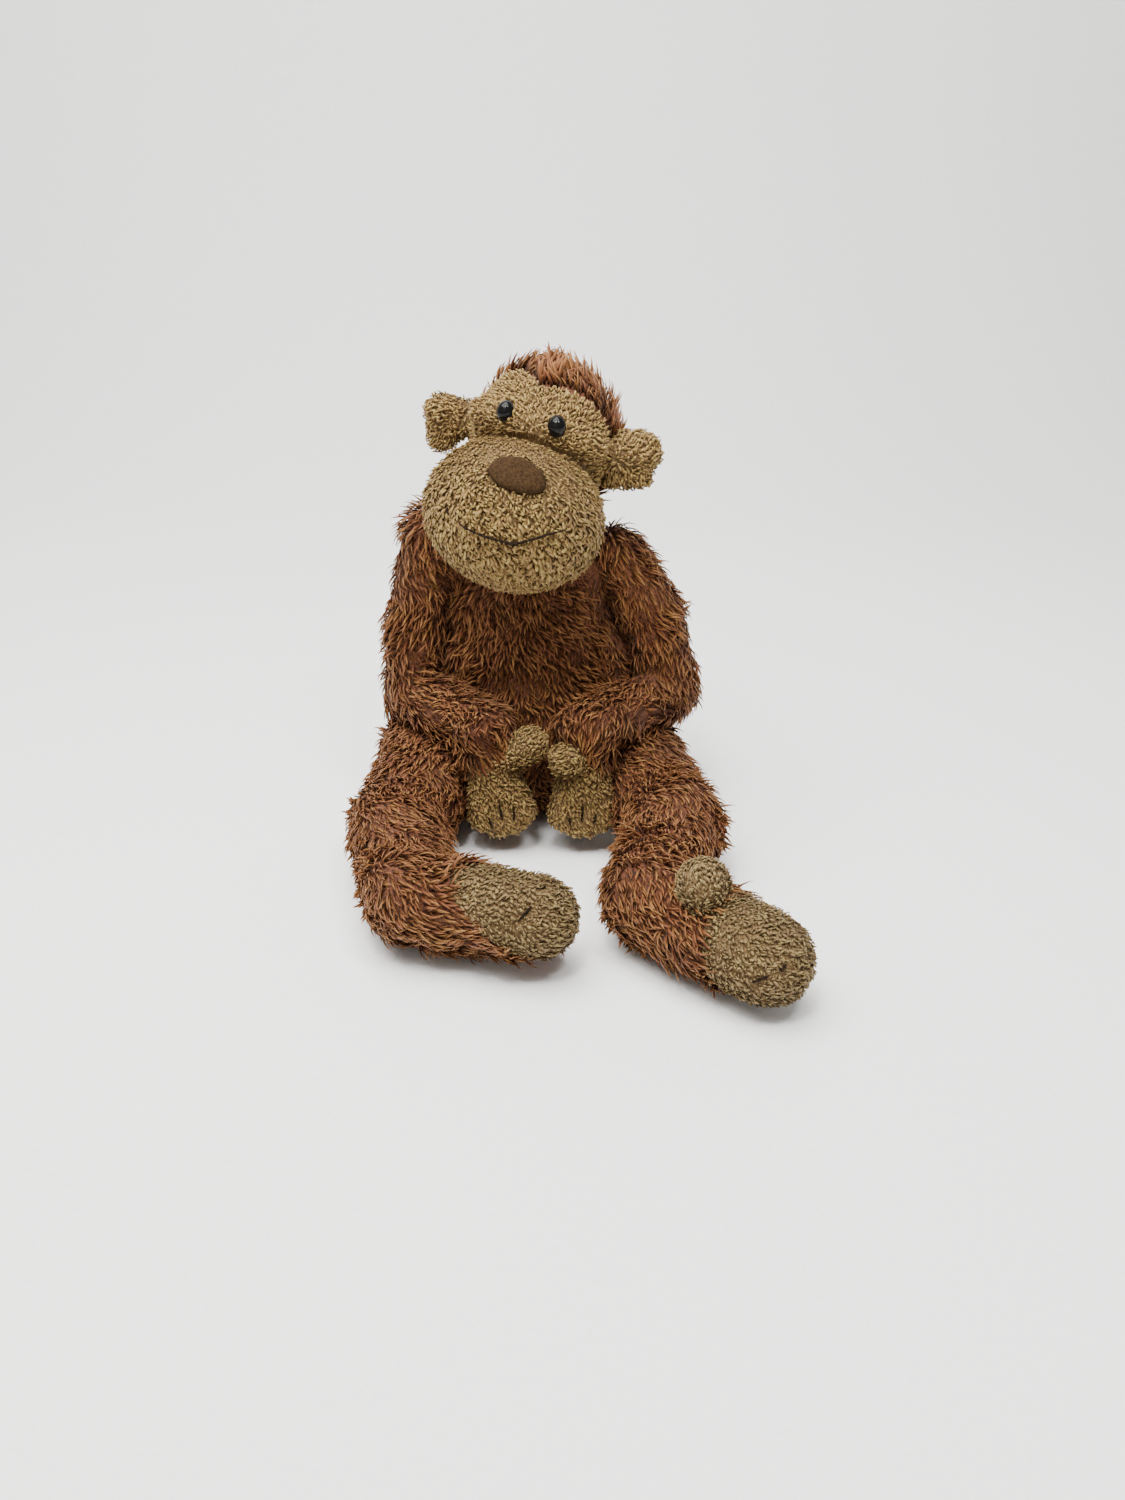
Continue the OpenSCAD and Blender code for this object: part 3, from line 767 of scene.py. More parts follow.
def stuffed(name, skin, cloth, body, nodes, fold=None, fill=0.7, seed=1, **pile):
    """Finishes a skin panel: backing, pile and a body. nodes are the CAD solids that it stands for, and
    fold is (second body, start, end); a piece with a fold is baked in place and follows no body."""
    skin = new_object(name, skin)
    look = {**(RUST_PILE if cloth == "rust" else TAN_PILE), "seed": seed, **pile}
    skin.data.materials.clear()
    skin.data.materials.append(RUST_BACK if cloth == "rust" else TAN_BACK)
    fur = plant_pile(name + "_pile", skin, **look)
    drop(skin.data, "comb", "pile", "cloth")
    for piece in (skin, fur):
        if fold:
            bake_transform(piece)
        else:
            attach(piece, body)
    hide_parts(*nodes)


# %% [markdown]
# ## Torso
# The torso is a pear: wide where it sits, narrow at the shoulders, pushed in under the chin where the
# heavy muzzle rests. It is cut along the side seams into a front and a back panel.

# %% Torso skin
TORSO_Y = 5 * MM
TORSO_WIDE = 1.25  # its width as a share of its depth
bm = bmesh.new()
add_roll(bm, (0, TORSO_Y, 36 * MM), (0, TORSO_Y, 133 * MM), 46 * MM, 29.5 * MM)
add_roll(bm, (0, TORSO_Y - 6 * MM, 46 * MM), (0, TORSO_Y - 2 * MM, 92 * MM), 40 * MM, 32 * MM)
for sign in SIDES.values():
    add_roll(bm, (0, TORSO_Y, 143 * MM), (sign * 33 * MM, TORSO_Y + 1 * MM, 138 * MM), 17 * MM, 15 * MM)
    add_egg(bm, (sign * 28 * MM, TORSO_Y - 3 * MM, 76 * MM), (16 * MM, 24 * MM, 34 * MM))
add_egg(bm, (-27 * MM, TORSO_Y - 1 * MM, 108 * MM), (14 * MM, 20 * MM, 24 * MM))
torso = melted("torso", bm, 3.5 * MM, 6)
co = points_of(torso)
co[:, 0] *= TORSO_WIDE
set_points(torso, co)
settle(torso)
HEAD_AT = Vector((4, -6, 206)) * MM
HEAD_TURN = Matrix.Rotation(math.radians(-14), 4, "Z") @ Matrix.Rotation(math.radians(12), 4, "Y")
HEAD = Matrix.Translation(HEAD_AT) @ HEAD_TURN
MUZZLE = Vector((1, -38, -28.5)) * MM
MUZZLE_HALF, MUZZLE_R = 46 * MM, 39 * MM
MUZZLE_RADII = Vector((MUZZLE_HALF, MUZZLE_R, MUZZLE_R))
CHIN_SWEEP = math.radians(50)  # how far the muzzle's turn to each side is cleared


def on_head(x, y, z):
    """A point of the head's own frame, in millimetres, in the frame of the model."""
    return HEAD @ (Vector((x, y, z)) * MM)


def hollow_under_chin(mesh, room):
    """Pushes the chest back from the sweep of the muzzle. Returns each point's distance from it."""
    co = points_of(mesh)
    neck = np.array(JOINT["neck_turn"])
    centre = np.array(HEAD @ MUZZLE)
    reach = np.hypot(*(centre - neck)[:2])
    angle = np.arctan2(co[:, 0] - neck[0], -(co[:, 1] - neck[1]))
    angle = np.clip(angle, -CHIN_SWEEP, CHIN_SWEEP)
    x, y = neck[0] + reach * np.sin(angle), neck[1] - reach * np.cos(angle)
    ring = np.stack([x, y, np.full(len(co), centre[2])], 1)
    away = co - ring
    size = np.linalg.norm(away, axis=1)
    inside = size < MUZZLE_R + room
    co[inside] = ring[inside] + away[inside] / size[inside, None] * (MUZZLE_R + room)
    set_points(mesh, co)
    return size - MUZZLE_R


gap = hollow_under_chin(torso, 1.5 * MM)
co = points_of(torso)
down = np.tile([0.0, 0.0, -1.0], (len(co), 1))
down[:, 0] += np.clip(co[:, 0] / (40 * MM), -1, 1) * 0.6
down[:, 1] += np.where(co[:, 1] < TORSO_Y, -0.15, 0.15)
comb(torso, down, pile=np.clip(gap / (9 * MM), 0.5, 1.0))
front = panel("torso_front", torso, ((0, TORSO_Y, 0), (0, -1, 0)))
back = panel("torso_back", torso, ((0, TORSO_Y, 0), (0, 1, 0)))
stuffed(
    "torso_front", front, "rust", "torso", ["torso_front_panel", "torso_stuffing"],
    seed=14, swirl=0.95, swirl_size=60.0, length=8.6 * MM,
)
stuffed("torso_back", back, "rust", "torso", ["torso_back_panel"], seed=12)


# %% Neck collar
bm = bmesh.new()
neck = JOINT["neck_turn"]
NECK_HALF = Vector((0, 0, 8 * MM))
add_roll(bm, neck - NECK_HALF, neck + NECK_HALF, 15 * MM, 14 * MM)
collar = melted("neck_collar", bm, 3 * MM, 3)
comb(collar, np.tile([0.0, 0.0, -1.0], (len(collar.vertices), 1)), 0.8)
stuffed(
    "neck_collar", panel("neck_collar", collar), "rust", "torso", ["neck_gather"],
    seed=13, fold=("neck", neck - NECK_HALF, neck + NECK_HALF),
)

# %% [markdown]
# ## Where the pile parts
# A stitch pulls the cloth in, and the pile parts along it. So the lines of the stitches are laid
# first, and the pile number falls near them.

# %% Lines of stitches
def smooth_line(points, count):
    """Points on a smooth curve through the given ones, evenly spread by their number."""
    p = [Vector(points[0]) * 2 - Vector(points[1])] + [Vector(q) for q in points]
    p.append(Vector(points[-1]) * 2 - Vector(points[-2]))
    line = []
    for i in range(count + 1):
        u = i / count * (len(points) - 1)
        k = min(int(u), len(points) - 2)
        t = u - k
        a, b, c, d = p[k:k + 4]
        square, cube = 2 * a - 5 * b + 4 * c - d, 3 * b - a - 3 * c + d
        line.append(0.5 * (2 * b + (c - a) * t + square * t * t + cube * t ** 3))
    return line


PARTING_POINTS = 40


def parted(co, lines, width, least=0.3):
    """How much of the pile is left at each point: least on the lines, all of it beyond width."""
    near = np.full(len(co), np.inf)
    for line in lines:
        run = np.array(smooth_line(line, PARTING_POINTS))
        near = np.minimum(near, np.linalg.norm(co[:, None] - run[None], axis=2).min(1))
    return np.clip(near / width, least, 1.0)


def laid(mesh, points, proud):
    """The points dropped onto the nearest cloth of the mesh, a little proud of it."""
    tree = BVHTree.FromPolygons([v.co for v in mesh.vertices], [p.vertices for p in mesh.polygons])
    found = [tree.find_nearest(p) for p in points]
    return [place + normal * proud for place, normal, *_ in found]


# %% [markdown]
# ## Legs
# Each leg is one long limp roll with a knee and an ankle, and it ends in a foot whose toes are tan.
# The skin is melted in one go, then cut in the middle of each length, so that every cut lies where
# nothing bends and each piece holds exactly one fold.

# %% Leg skins
KNEE_R, ANKLE_R = 23 * MM, 21.5 * MM
TOE_R = {"right": 18.5 * MM, "left": 20 * MM}
SOLE_AT = {"right": 0.80, "left": 0.70}  # where the sole's seam is, as a share of the foot
SOLE_LEAN = {"right": Vector((0, -0.45, 1.5)), "left": Vector((0, 0, 0.25))}
TOE_STITCHES = {  # from the end of the foot, in millimetres
    "right": [
        [(1.8, -3.7, 18.0), (4.5, -2.5, 17.8)],
        [(-7.6, -15.0, 8.3), (-4.2, -13.8, 11.6), (-1.6, -12.0, 14.0)],
    ],
    "left": [
        [(-8.9, -17.9, 0.8), (-5.8, -18.9, 3.1), (-2.2, -19.3, 5.0)],
        [(2, -18, 7), (5, -16, 9)],
    ],
}
toe_lines = {}


def between(a, b, share):
    return a + (b - a) * share


for side, sign in SIDES.items():
    hip, knee, ankle, toes = leg_line[side]
    bm = bmesh.new()
    add_roll(bm, hip, knee, 20.5 * MM, KNEE_R)
    add_roll(bm, hip + Vector((sign * 9, 6, 5)) * MM, between(hip, knee, 0.7), 23 * MM, KNEE_R)
    if side == "right":
        bulge = between(hip, knee, 0.75) + Vector((-3, 0, 2)) * MM
        add_roll(bm, hip + Vector((-20, 2, 8)) * MM, bulge, 20 * MM, 21 * MM)
    add_roll(bm, knee, ankle, KNEE_R, ANKLE_R)
    add_roll(bm, ankle, toes, ANKLE_R, TOE_R[side])
    leg = melted(side + "_leg", bm, 3.2 * MM, 5)
    settle(leg)
    lines = [[toes + Vector(p) * MM for p in line] for line in TOE_STITCHES[side]]
    toe_lines[side] = [laid(leg, line, 1.0 * MM) for line in lines]
    co = points_of(leg)
    flow = line_direction(co, leg_line[side])
    flow[:, 2] -= 0.35
    comb(leg, flow, pile=parted(co, toe_lines[side], 3 * MM))
    thigh_mid, shin_mid = between(hip, knee, 0.55), between(knee, ankle, 0.5)
    thigh_dir, shin_dir, foot_dir = (knee - hip), (ankle - knee), (toes - ankle)
    foot_mid = between(ankle, toes, SOLE_AT[side])
    sole_dir = foot_dir.normalized() + SOLE_LEAN[side]
    lower = panel(side + "_lower", leg, (shin_mid, shin_dir))
    upper = panel(side + "_upper", leg, (shin_mid, -shin_dir))
    hip_piece = panel(side + "_hip", upper, (thigh_mid, -thigh_dir))
    knee_piece = panel(side + "_knee", upper, (thigh_mid, thigh_dir))
    heel_piece = panel(side + "_foot_top", lower, (foot_mid, -sole_dir))
    sole_piece = panel(side + "_foot_sole", lower, (foot_mid, sole_dir))
    thigh, shin, foot = side + "_thigh", side + "_shin", side + "_foot"
    stuffed(
        side + "_hip", hip_piece, "rust", "torso", [thigh + "_cover", thigh + "_stuffing"],
        seed=21, fold=(thigh, hip - thigh_dir * 0.1, hip + thigh_dir * 0.4),
    )
    stuffed(
        side + "_knee", knee_piece, "rust", thigh, [shin + "_cover", shin + "_stuffing"],
        seed=22, fold=(shin, knee - thigh_dir * 0.3, knee + shin_dir * 0.3),
    )
    stuffed(
        foot + "_top", heel_piece, "rust", shin, [foot + "_top", foot + "_pellets"],
        seed=23, fold=(foot, ankle - shin_dir * 0.3, ankle + foot_dir * 0.3),
    )
    stuffed(foot + "_sole", sole_piece, "tan", foot, [foot + "_sole"], seed=24, finish=TAN_WORN)


# %% [markdown]
# The big toe is a soft knob on the side of the foot, sewn on as its own little bag. The left one
# stands up and the right one is tucked behind its foot.

# %% Big toes
BIG_TOE = {"right": ((9, 20, -3), 8.0), "left": ((-4, -4, 26), 11.2)}  # reach and radius
for side, (out, size) in BIG_TOE.items():
    root = between(*leg_line[side][2:], 0.52)
    tip = root + Vector(out) * MM
    radius = size * MM
    bm = bmesh.new()
    add_roll(bm, between(root, tip, 0.2), tip, radius * 0.85, radius)
    toe = melted(side + "_big_toe", bm, 2.2 * MM, 3)
    settle(toe)
    comb(toe, np.tile(np.array((tip - root).normalized()), (len(toe.vertices), 1)))
    name = side + "_big_toe_skin"
    stuffed(
        name, panel(name, toe), "tan", side + "_foot", [side + "_big_toe"],
        seed=31, finish=TAN_WORN,
    )

# %% [markdown]
# ## Arms
# The arms hang from the shoulders, bend at the elbows on the hips, and drop their hands between the
# thighs. A hand is a flat bag with four fingers marked by stitches, so it is melted from four slim
# finger rolls that lie side by side.

# %% Arm skins
UPPER_R, BULGE_R, ELBOW_R, FORE_R, CUFF_R = 16 * MM, 16.5 * MM, 15 * MM, 13 * MM, 9.5 * MM
ARM_TOP = {"right": (-5, 0, 4), "left": (-8, 0, 2)}
ARM_BULGE = {"right": (-5, 0, 0), "left": (3, 0, 3)}
THUMB = {"right": (20, -4, 13), "left": (-9, -7, 6)}
FINGER_R, FINGER_TIP_R = 6.5 * MM, 6.6 * MM
FINGER_STITCHES = ((-1, (-7, -4, -1)), (0, (-10, -6, -2)), (1, (-5, -2, 2)))  # across, along
PALM_DIR = Vector((0, -1, 0.245))
finger_lines = {}
for side in SIDES:
    shoulder, elbow, wrist, fingertip = arm_line[side]
    reach = (fingertip - wrist).normalized()
    across = reach.cross(Vector((0, -1, 0))).normalized()
    bm = bmesh.new()
    top = shoulder + Vector(ARM_TOP[side]) * MM
    bulge = between(shoulder, elbow, 0.45) + Vector(ARM_BULGE[side]) * MM
    add_roll(bm, top, bulge, UPPER_R, BULGE_R)
    add_roll(bm, bulge, elbow, BULGE_R, ELBOW_R)
    add_roll(bm, elbow, wrist, ELBOW_R, FORE_R)
    add_roll(bm, wrist, wrist + reach * 20 * MM, FORE_R, CUFF_R, 1.25, across)
    arm = melted(side + "_arm", bm, 3 * MM, 4)
    co = points_of(arm)
    flow = line_direction(co, arm_line[side])
    flow[:, 2] -= 0.3
    comb(arm, flow)
    arm_mid, fore_mid = between(shoulder, elbow, 0.5), between(elbow, wrist, 0.5)
    cuff = wrist + reach * 18 * MM
    upper_dir, fore_dir = elbow - shoulder, wrist - elbow
    shoulder_piece = panel(side + "_shoulder", arm, (arm_mid, -upper_dir))
    elbow_piece = panel(side + "_elbow", arm, (arm_mid, upper_dir), (fore_mid, -fore_dir))
    wrist_piece = panel(side + "_sleeve", arm, (fore_mid, fore_dir), (cuff, -reach))
    upper, fore, body = side + "_upper_arm", side + "_forearm", side + "_hand"
    stuffed(
        side + "_shoulder", shoulder_piece, "rust", "torso", [upper + "_cover", upper + "_stuffing"],
        seed=41, fold=(upper, shoulder - upper_dir * 0.05, shoulder + upper_dir * 0.3),
    )
    stuffed(
        side + "_elbow", elbow_piece, "rust", upper, [fore + "_cover", fore + "_stuffing"],
        seed=42, fold=(fore, elbow - upper_dir * 0.2, elbow + fore_dir * 0.25),
    )
    stuffed(
        side + "_sleeve", wrist_piece, "rust", fore, [side + "_sleeve_end"],
        seed=43, fold=(body, wrist - fore_dir * 0.15, wrist + reach * 8 * MM),
    )

    bm = bmesh.new()
    add_roll(bm, wrist + reach * 12 * MM, wrist + reach * 34 * MM, 9 * MM, 8.5 * MM, 1.45, across)
    for k in range(4):
        out = across * (k - 1.5) * 7.2 * MM
        end = fingertip + reach * (4 if k in (1, 2) else 0) * MM + out
        add_roll(bm, wrist + reach * 24 * MM + out * 0.6, end, FINGER_R, FINGER_TIP_R)
    hand = melted(side + "_hand", bm, 2.2 * MM, 4)
    lines = [
        [fingertip + across * k * 7 * MM + reach * d * MM + Vector((0, -14, 0)) * MM for d in run]
        for k, run in FINGER_STITCHES
    ]
    finger_lines[side] = [laid(hand, line, 0.9 * MM) for line in lines]
    pile = parted(points_of(hand), finger_lines[side], 2.8 * MM, 0.2)
    comb(hand, np.tile(np.array(reach), (len(hand.vertices), 1)), pile=pile)
    palm_at = wrist + Vector((0, 1, 0)) * MM
    hand_end = (cuff - reach * 2 * MM, reach)
    palm = panel(side + "_palm", hand, hand_end, (palm_at, PALM_DIR))
    hand_back = panel(side + "_hand_back", hand, hand_end, (palm_at, -PALM_DIR))
    stuffed(side + "_palm_skin", palm, "tan", body, [side + "_palm", body + "_pellets"], seed=44)
    stuffed(body + "_back_skin", hand_back, "tan", body, [body + "_back"], seed=45)
    root = wrist + reach * 18 * MM + Vector((0, -1, 0)) * MM
    tip = root + Vector(THUMB[side]) * MM
    bm = bmesh.new()
    add_roll(bm, root, tip, 7.5 * MM, 8.6 * MM)
    thumb = melted(side + "_thumb", bm, 2.2 * MM, 3)
    comb(thumb, np.tile(np.array((tip - root).normalized()), (len(thumb.vertices), 1)))
    name = side + "_thumb_skin"
    stuffed(name, panel(name, thumb), "tan", body, [side + "_thumb"], seed=46)

# %% [markdown]
# ## Head
# The head is a ball with a soft brow. Its tan face meets the rust cloth at a slanted seam that runs
# lower on one side, as a sewn seam does once the toy has been pulled about. Two planes cut the seam,
# and the two tan parts that they leave are joined into one face.

# %% Head skin
SKULL_R = 38 * MM
SKIN_TAN = 2.3 * MM  # how far the skins lie inside the tips of the tan pile
HEAD_AXES = HEAD_TURN.to_3x3()


def joined(name, *meshes):
    """One mesh from several, with their attributes."""
    bm = bmesh.new()
    for mesh in meshes:
        bm.from_mesh(mesh)
    whole = bpy.data.meshes.new(name)
    bm.to_mesh(whole)
    bm.free()
    return whole


bm = bmesh.new()
add_egg(bm, HEAD_AT, (SKULL_R - SKIN_TAN, SKULL_R - SKIN_TAN, SKULL_R - SKIN_TAN + 0.5 * MM), HEAD_TURN)
BROW = [(-27, -20, 12), (-13, -28, 14.5), (0, -30, 14), (13, -28, 13), (28, -19, 9)]
BROW_R = 7.2 * MM
for a, b in zip(BROW, BROW[1:]):
    add_roll(bm, on_head(*a), on_head(*b), BROW_R, BROW_R)
skull = melted("skull", bm, 2.4 * MM, 3)
co = points_of(skull)
away = co - np.array(on_head(0, -34, 4))
away = away / np.linalg.norm(away, axis=1)[:, None]
in_head = (co - np.array(HEAD_AT)) @ np.array(HEAD_AXES)
shares = (in_head - np.array(MUZZLE)) / np.array(MUZZLE_RADII)
to_muzzle = (np.linalg.norm(shares, axis=1) - 1) * MUZZLE_R
comb(skull, away, pile=np.clip(0.8 + to_muzzle / (2 * MM), 0.0, 1.0))
SEAMS_MEET = on_head(-1.7, -19.4, 32.4)
FRONT_SEAM = (SEAMS_MEET, HEAD_AXES @ Vector((0.32, -0.95, -0.14)).normalized())
SIDE_SEAM = (SEAMS_MEET, HEAD_AXES @ Vector((-0.693, -0.711, 0.119)).normalized())


def reverse(cut):
    return (cut[0], -cut[1])


face_front = panel("face_a", skull, FRONT_SEAM)
face_side = panel("face_b", skull, SIDE_SEAM, reverse(FRONT_SEAM))
face = joined("face", face_front, face_side)
nape = panel("nape", skull, reverse(FRONT_SEAM), reverse(SIDE_SEAM))
upright = np.array(HEAD_AXES @ Vector((-0.1, 0.25, 1)))
comb(nape, np.tile(upright, (len(nape.vertices), 1)))
stuffed("face", face, "tan", "head", ["face_panel", "head_stuffing"], seed=51)
stuffed(
    "head_back", nape, "rust", "head", ["head_back_cover"], seed=52, stand=1.3, unruly=0.65,
    length=11.0 * MM, length_spread=0.4, swirl=0.6, swirl_size=90.0,
)

# %% [markdown]
# The mouth's stitches are laid on the muzzle before its pile grows. The pile also thins towards the
# seam under the brow, which leaves a crisp crease there.

# %% Lines of the mouth
def on_muzzle(direction, proud):
    """A point of the muzzle's skin in that direction from its middle, a little proud of it."""
    d = Vector(direction).normalized()
    reach = 1 / math.sqrt(sum((c / (r + proud)) ** 2 for c, r in zip(d, MUZZLE_RADII)))
    return HEAD @ (MUZZLE + d * reach)


MOUTH = [
    (-18, -37, 3.2), (-14.4, -38, 1), (-4.1, -40, 0.1), (5.8, -40, 0),
    (12.7, -39, 0.7), (21, -36, 4.7), (27.6, -32, 8), (32.2, -28, 9.6),
]
DIMPLE = [(-24.5, -34, 6.6), (-24, -34, 5), (-22.4, -35, 3.4)]
mouth = [on_muzzle(d, 0.7 * MM) for d in MOUTH]
middle = [on_muzzle((d, -40, 0.1), 1.5 * MM) for d in (6.5, 9, 11.5, 14)]
dimple = [on_muzzle(d, 1.2 * MM) for d in DIMPLE]

# %% [markdown]
# The muzzle is a broad egg, sewn on under the brow. Its pile is brushed smooth on top and grows
# curlier round the mouth, so the pile number rises there.

# %% Muzzle skin
bm = bmesh.new()
add_egg(bm, HEAD @ MUZZLE, tuple(r - SKIN_TAN for r in MUZZLE_RADII), HEAD_TURN)
muzzle = melted("muzzle_skin", bm, 2.4 * MM, 2)
co = points_of(muzzle)
in_head_mm = (co - np.array(HEAD_AT)) @ np.array(HEAD_AXES) / MM
height = in_head_mm[:, 2]
curly = np.clip((2 - height) / 22, 0, 1) * np.clip((height + 58) / 14, 0, 1)
to_skull = np.linalg.norm(in_head_mm, axis=1) * MM - SKULL_R
growth = (0.85 + 0.45 * curly) * parted(co, [mouth, dimple], 2.6 * MM, 0.35)
growth *= np.clip(0.8 + to_skull / (2 * MM), 0, 1)
down = np.array(HEAD_AXES @ Vector((0.1, -0.3, -1)))
comb(muzzle, np.tile(down, (len(co), 1)), pile=growth)
stuffed(
    "muzzle_skin", panel("muzzle_skin", muzzle), "tan", "head", ["muzzle_cover", "muzzle_stuffing"],
    seed=53,
)

# %% [markdown]
# The ears are flat padded flaps. One has folded forwards into a thick rim with a hanging edge, and
# the other is a round lobe above a smaller rim. Each is melted from a few rolls.

# %% Ears
EAR_ROLLS = {  # start, end and the radius at each, in the head's own frame, in millimetres
    "right": [
        ((-34, 0, 0), (-46, -3, -1), 8, 6.5),
        ((-42, -2, 3), (-54, -5, 4), 6.5, 6.2),
        ((-55, -6, 3), (-52, -6, -13), 6, 4.6),
        ((-46, -3, -5), (-49, -5, -12), 5.5, 5),
    ],
    "left": [
        ((34, 0, 0), (42, 2, 1), 9, 9),
        ((41, 2, 5), (49, 4, 6), 10, 10.2),
        ((38, 0, -7), (51, 2, -4), 6.5, 6.8),
    ],
}
for side, sign in SIDES.items():
    bm = bmesh.new()
    for a, b, ra, rb in EAR_ROLLS[side]:
        add_roll(bm, on_head(*a), on_head(*b), ra * MM, rb * MM)
    ear = melted(side + "_ear", bm, 2.0 * MM, 2)
    outwards = points_of(ear) - np.array(on_head(sign * 40, 2, 1))
    comb(ear, outwards / np.maximum(np.linalg.norm(outwards, axis=1), 1e-6)[:, None])
    name = side + "_ear_skin"
    stuffed(
        name, panel(name, ear), "tan", "head", [side + "_ear_cover", side + "_ear_wadding"],
        seed=61, fold=(side + "_ear", on_head(sign * 36, 2, 1), on_head(sign * 44, 2, 1)),
    )


# %% [markdown]
# ## Face details
# The eyes are glossy black domes, the nose is an oval of brown suede with a soft raised edge, and the
# mouth is one dark thread in a shallow smile with a heavier stitch in its middle.

# %% Finishes for the small parts
def small_finish(name, dark, light, size, rough, bump=0.0, shine=0.5):
    """A finish whose colour and roughness drift with a fine noise, and which may be bumpy."""
    material, nodes, links, shader = new_finish(name)
    shader.inputs["Specular IOR Level"].default_value = shine
    grain = texture(nodes, links, "ShaderNodeTexNoise", size)
    grain.inputs["Detail"].default_value = 4.0
    tint(nodes, links, shader, grain.outputs["Fac"], dark, light, (0.35, 0.68))
    gloss = nodes.new("ShaderNodeMapRange")
    links.new(grain.outputs["Fac"], gloss.inputs["Value"])
    gloss.inputs["To Min"].default_value, gloss.inputs["To Max"].default_value = rough
    links.new(gloss.outputs[0], shader.inputs["Roughness"])
    if bump:
        emboss(nodes, links, shader, grain.outputs["Fac"], bump, 0.3 * MM)
    return material


EYE = small_finish(
    "eye_black", (0.004, 0.004, 0.004), (0.007, 0.006, 0.006), 300, (0.03, 0.09), shine=0.17
)
SUEDE = small_finish(
    "nose_suede", (0.020, 0.0105, 0.004), (0.050, 0.027, 0.011), 900, (0.85, 1.0), 0.8, shine=0.1
)
THREAD = small_finish(
    "dark_thread", (0.008, 0.005, 0.003), (0.022, 0.013, 0.008), 1500, (0.8, 0.95), 0.5, shine=0.08
)
WASHER = small_finish("eye_washer_plastic", (0.7, 0.7, 0.68), (0.8, 0.8, 0.78), 200, (0.35, 0.5))
PELLETS = small_finish("pellet_bag", (0.55, 0.52, 0.44), (0.72, 0.69, 0.60), 260, (0.7, 0.9), 1.0)
PAPER = small_finish("floor_paper", (0.90, 0.90, 0.90), (0.94, 0.94, 0.935), 350, (0.85, 0.95), 0.2)
sheet.data.materials.append(PAPER)


def small_piece(name, mesh, finish, body, slot, *nodes):
    """A smooth piece of one finish that rides one body and stands for these CAD solids."""
    shade_smooth(mesh)
    piece = new_object(name, mesh)
    mesh.materials.append(finish)
    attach(piece, body)
    if nodes:
        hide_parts(*nodes)


def closed_mesh(name, verts, faces):
    """A mesh whose faces all look outwards."""
    mesh = bpy.data.meshes.new(name)
    mesh.from_pydata(verts, [], faces)
    bm = bmesh.new()
    bm.from_mesh(mesh)
    bmesh.ops.recalc_face_normals(bm, faces=bm.faces)
    bm.to_mesh(mesh)
    bm.free()
    return mesh


# %% Eyes
EYE_AT = {"right": (-13.8, -34.2, 19.0), "left": (12.8, -35.0, 18.7)}
EYE_RADII = (4.1, 4.9, 3.6)
EYE_RIM = (1.08, 1.02, 0.14)  # its two radii and its height, as shares of the dome's radii
EYE_ROUND = 40
for side, at in EYE_AT.items():
    outwards = (Vector(at) - Vector((0, 0, 4))).normalized()
    turn = outwards.to_track_quat("Z", "Y").to_matrix().to_4x4()
    bm = bmesh.new()
    bmesh.ops.create_uvsphere(bm, u_segments=EYE_ROUND, v_segments=EYE_ROUND // 2, radius=1)
    bmesh.ops.create_cone(
        bm, cap_ends=True, segments=EYE_ROUND, radius1=EYE_RIM[0], radius2=EYE_RIM[1], depth=EYE_RIM[2]
    )
    size = Matrix.Diagonal((*(r * MM for r in EYE_RADII), 1))
    place = HEAD @ Matrix.Translation(Vector(at) * MM) @ turn @ size
    bmesh.ops.transform(bm, matrix=place, verts=bm.verts)
    mesh = bpy.data.meshes.new(side + "_eye_dome")
    bm.to_mesh(mesh)
    bm.free()
    small_piece(side + "_eye_dome", mesh, EYE, "head", "eye_plastic", side + "_eye")

# %% Nose
NOSE_MIDDLE = Vector((3.9, -26.9, 29.8)).normalized()
NOSE_ACROSS = Vector((0.985, 0.02, -0.10))
NOSE_HALF = (15.0 / 39, 9.0 / 39)  # half its width and height, as shares of the muzzle's radius
NOSE_PROUD, NOSE_ROOT = 1.9 * MM, -2.5 * MM  # how far its middle stands out and its rim goes in
nose_up = NOSE_MIDDLE.cross(NOSE_ACROSS).normalized() * -1
rings, segments = 9, 48
verts, faces = [on_muzzle(NOSE_MIDDLE, NOSE_PROUD)], []
for ring in range(1, rings + 2):
    share = min(1, ring / rings)
    rise = NOSE_PROUD * (1 - share ** 6) if ring <= rings else NOSE_ROOT
    for k in range(segments):
        t = 2 * math.pi * k / segments
        wobble = 1 + 0.025 * math.sin(3 * t + 0.6) + 0.015 * math.sin(7 * t)
        out = NOSE_ACROSS * NOSE_HALF[0] * math.cos(t) * share * wobble
        up = nose_up * NOSE_HALF[1] * math.sin(t) * share * wobble
        verts.append(on_muzzle(NOSE_MIDDLE + out + up, rise))
for k in range(segments):
    n = (k + 1) % segments
    faces.append((0, 1 + k, 1 + n))
    for ring in range(rings):
        low, high = 1 + ring * segments, 1 + (ring + 1) * segments
        faces.append((low + k, high + k, high + n, low + n))
faces.append(tuple(1 + rings * segments + k for k in reversed(range(segments))))
nose = closed_mesh("nose_pad", verts, faces)
small_piece("nose_pad", nose, SUEDE, "head", "nose_suede", "nose_patch")
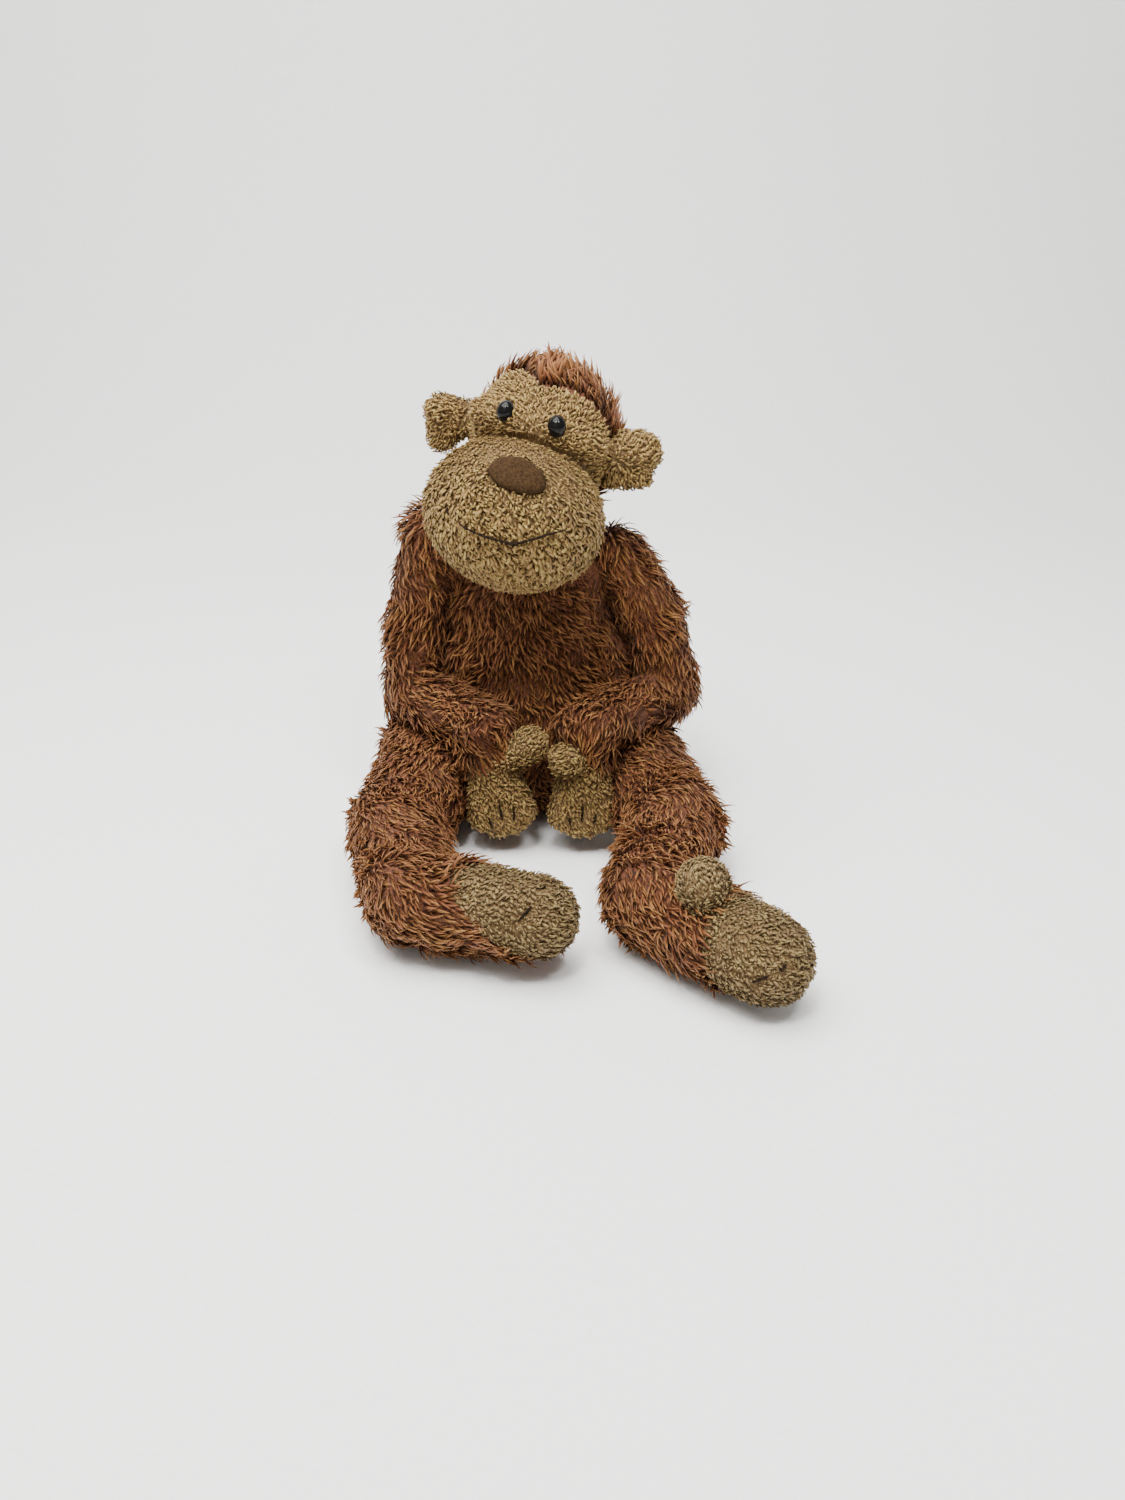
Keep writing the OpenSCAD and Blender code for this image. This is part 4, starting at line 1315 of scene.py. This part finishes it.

# %% [markdown]
# A thread is two thin strands twisted round each other. The helper runs both along a smooth line
# through the given points, and thins them to about a third at the ends, where they dive into the cloth.

# %% Thread helper
THREAD_STEP = 0.8 * MM
THREAD_TWIST = 0.9  # radians at each step


def thread(name, lines, radius, body, *nodes):
    """Twisted dark threads along the lines, as one piece."""
    verts, faces = [], []
    for points in lines:
        length = sum((Vector(b) - Vector(a)).length for a, b in zip(points, points[1:]))
        count = max(8, int(length / THREAD_STEP))
        line = smooth_line(points, count)
        for strand in (0, math.pi):
            base = len(verts)
            for i, at in enumerate(line):
                ahead = (line[min(i + 1, count)] - line[max(i - 1, 0)]).normalized()
                u, v = frame_on(ahead)
                thin = radius * min(1, 0.35 + 2.5 * min(i, count - i) / count)
                turn = strand + i * THREAD_TWIST
                core = at + (u * math.cos(turn) + v * math.sin(turn)) * thin * 0.5
                for k in range(6):
                    a = 2 * math.pi * k / 6
                    verts.append(core + (u * math.cos(a) + v * math.sin(a)) * thin * 0.62)
            for row in range(base, base + 6 * count, 6):
                for k in range(6):
                    n = (k + 1) % 6
                    faces.append((row + k, row + n, row + 6 + n, row + 6 + k))
            faces.append(tuple(base + k for k in reversed(range(6))))
            faces.append(tuple(base + 6 * count + k for k in range(6)))
    small_piece(name, closed_mesh(name, verts, faces), THREAD, body, "stitching_thread", *nodes)


# %% Mouth
thread("mouth_thread", [mouth, dimple], 0.7 * MM, "head", "mouth_stitch")
thread("mouth_middle", [middle], 1.0 * MM, "head")

# %% Finger and toe stitches
for side in SIDES:
    fingers, toes = side + "_finger_", side + "_toe_"
    thread(fingers + "threads", finger_lines[side], 0.65 * MM, side + "_hand", fingers + "stitches")
    thread(toes + "threads", toe_lines[side], 0.7 * MM, side + "_foot", toes + "stitches")

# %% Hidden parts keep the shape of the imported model
for name, node in frame["nodes"].items():
    if not node.hide_render:
        node.data.materials.clear()
        node.data.materials.append(WASHER if name.endswith("washer") else PELLETS)
        print("kept:", name)

# %% Sizes of the CAD model and of the toy
low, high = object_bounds()
rows = [[round(v, 5) for v in corner] for corner in (cad_low, cad_high, low, high)]
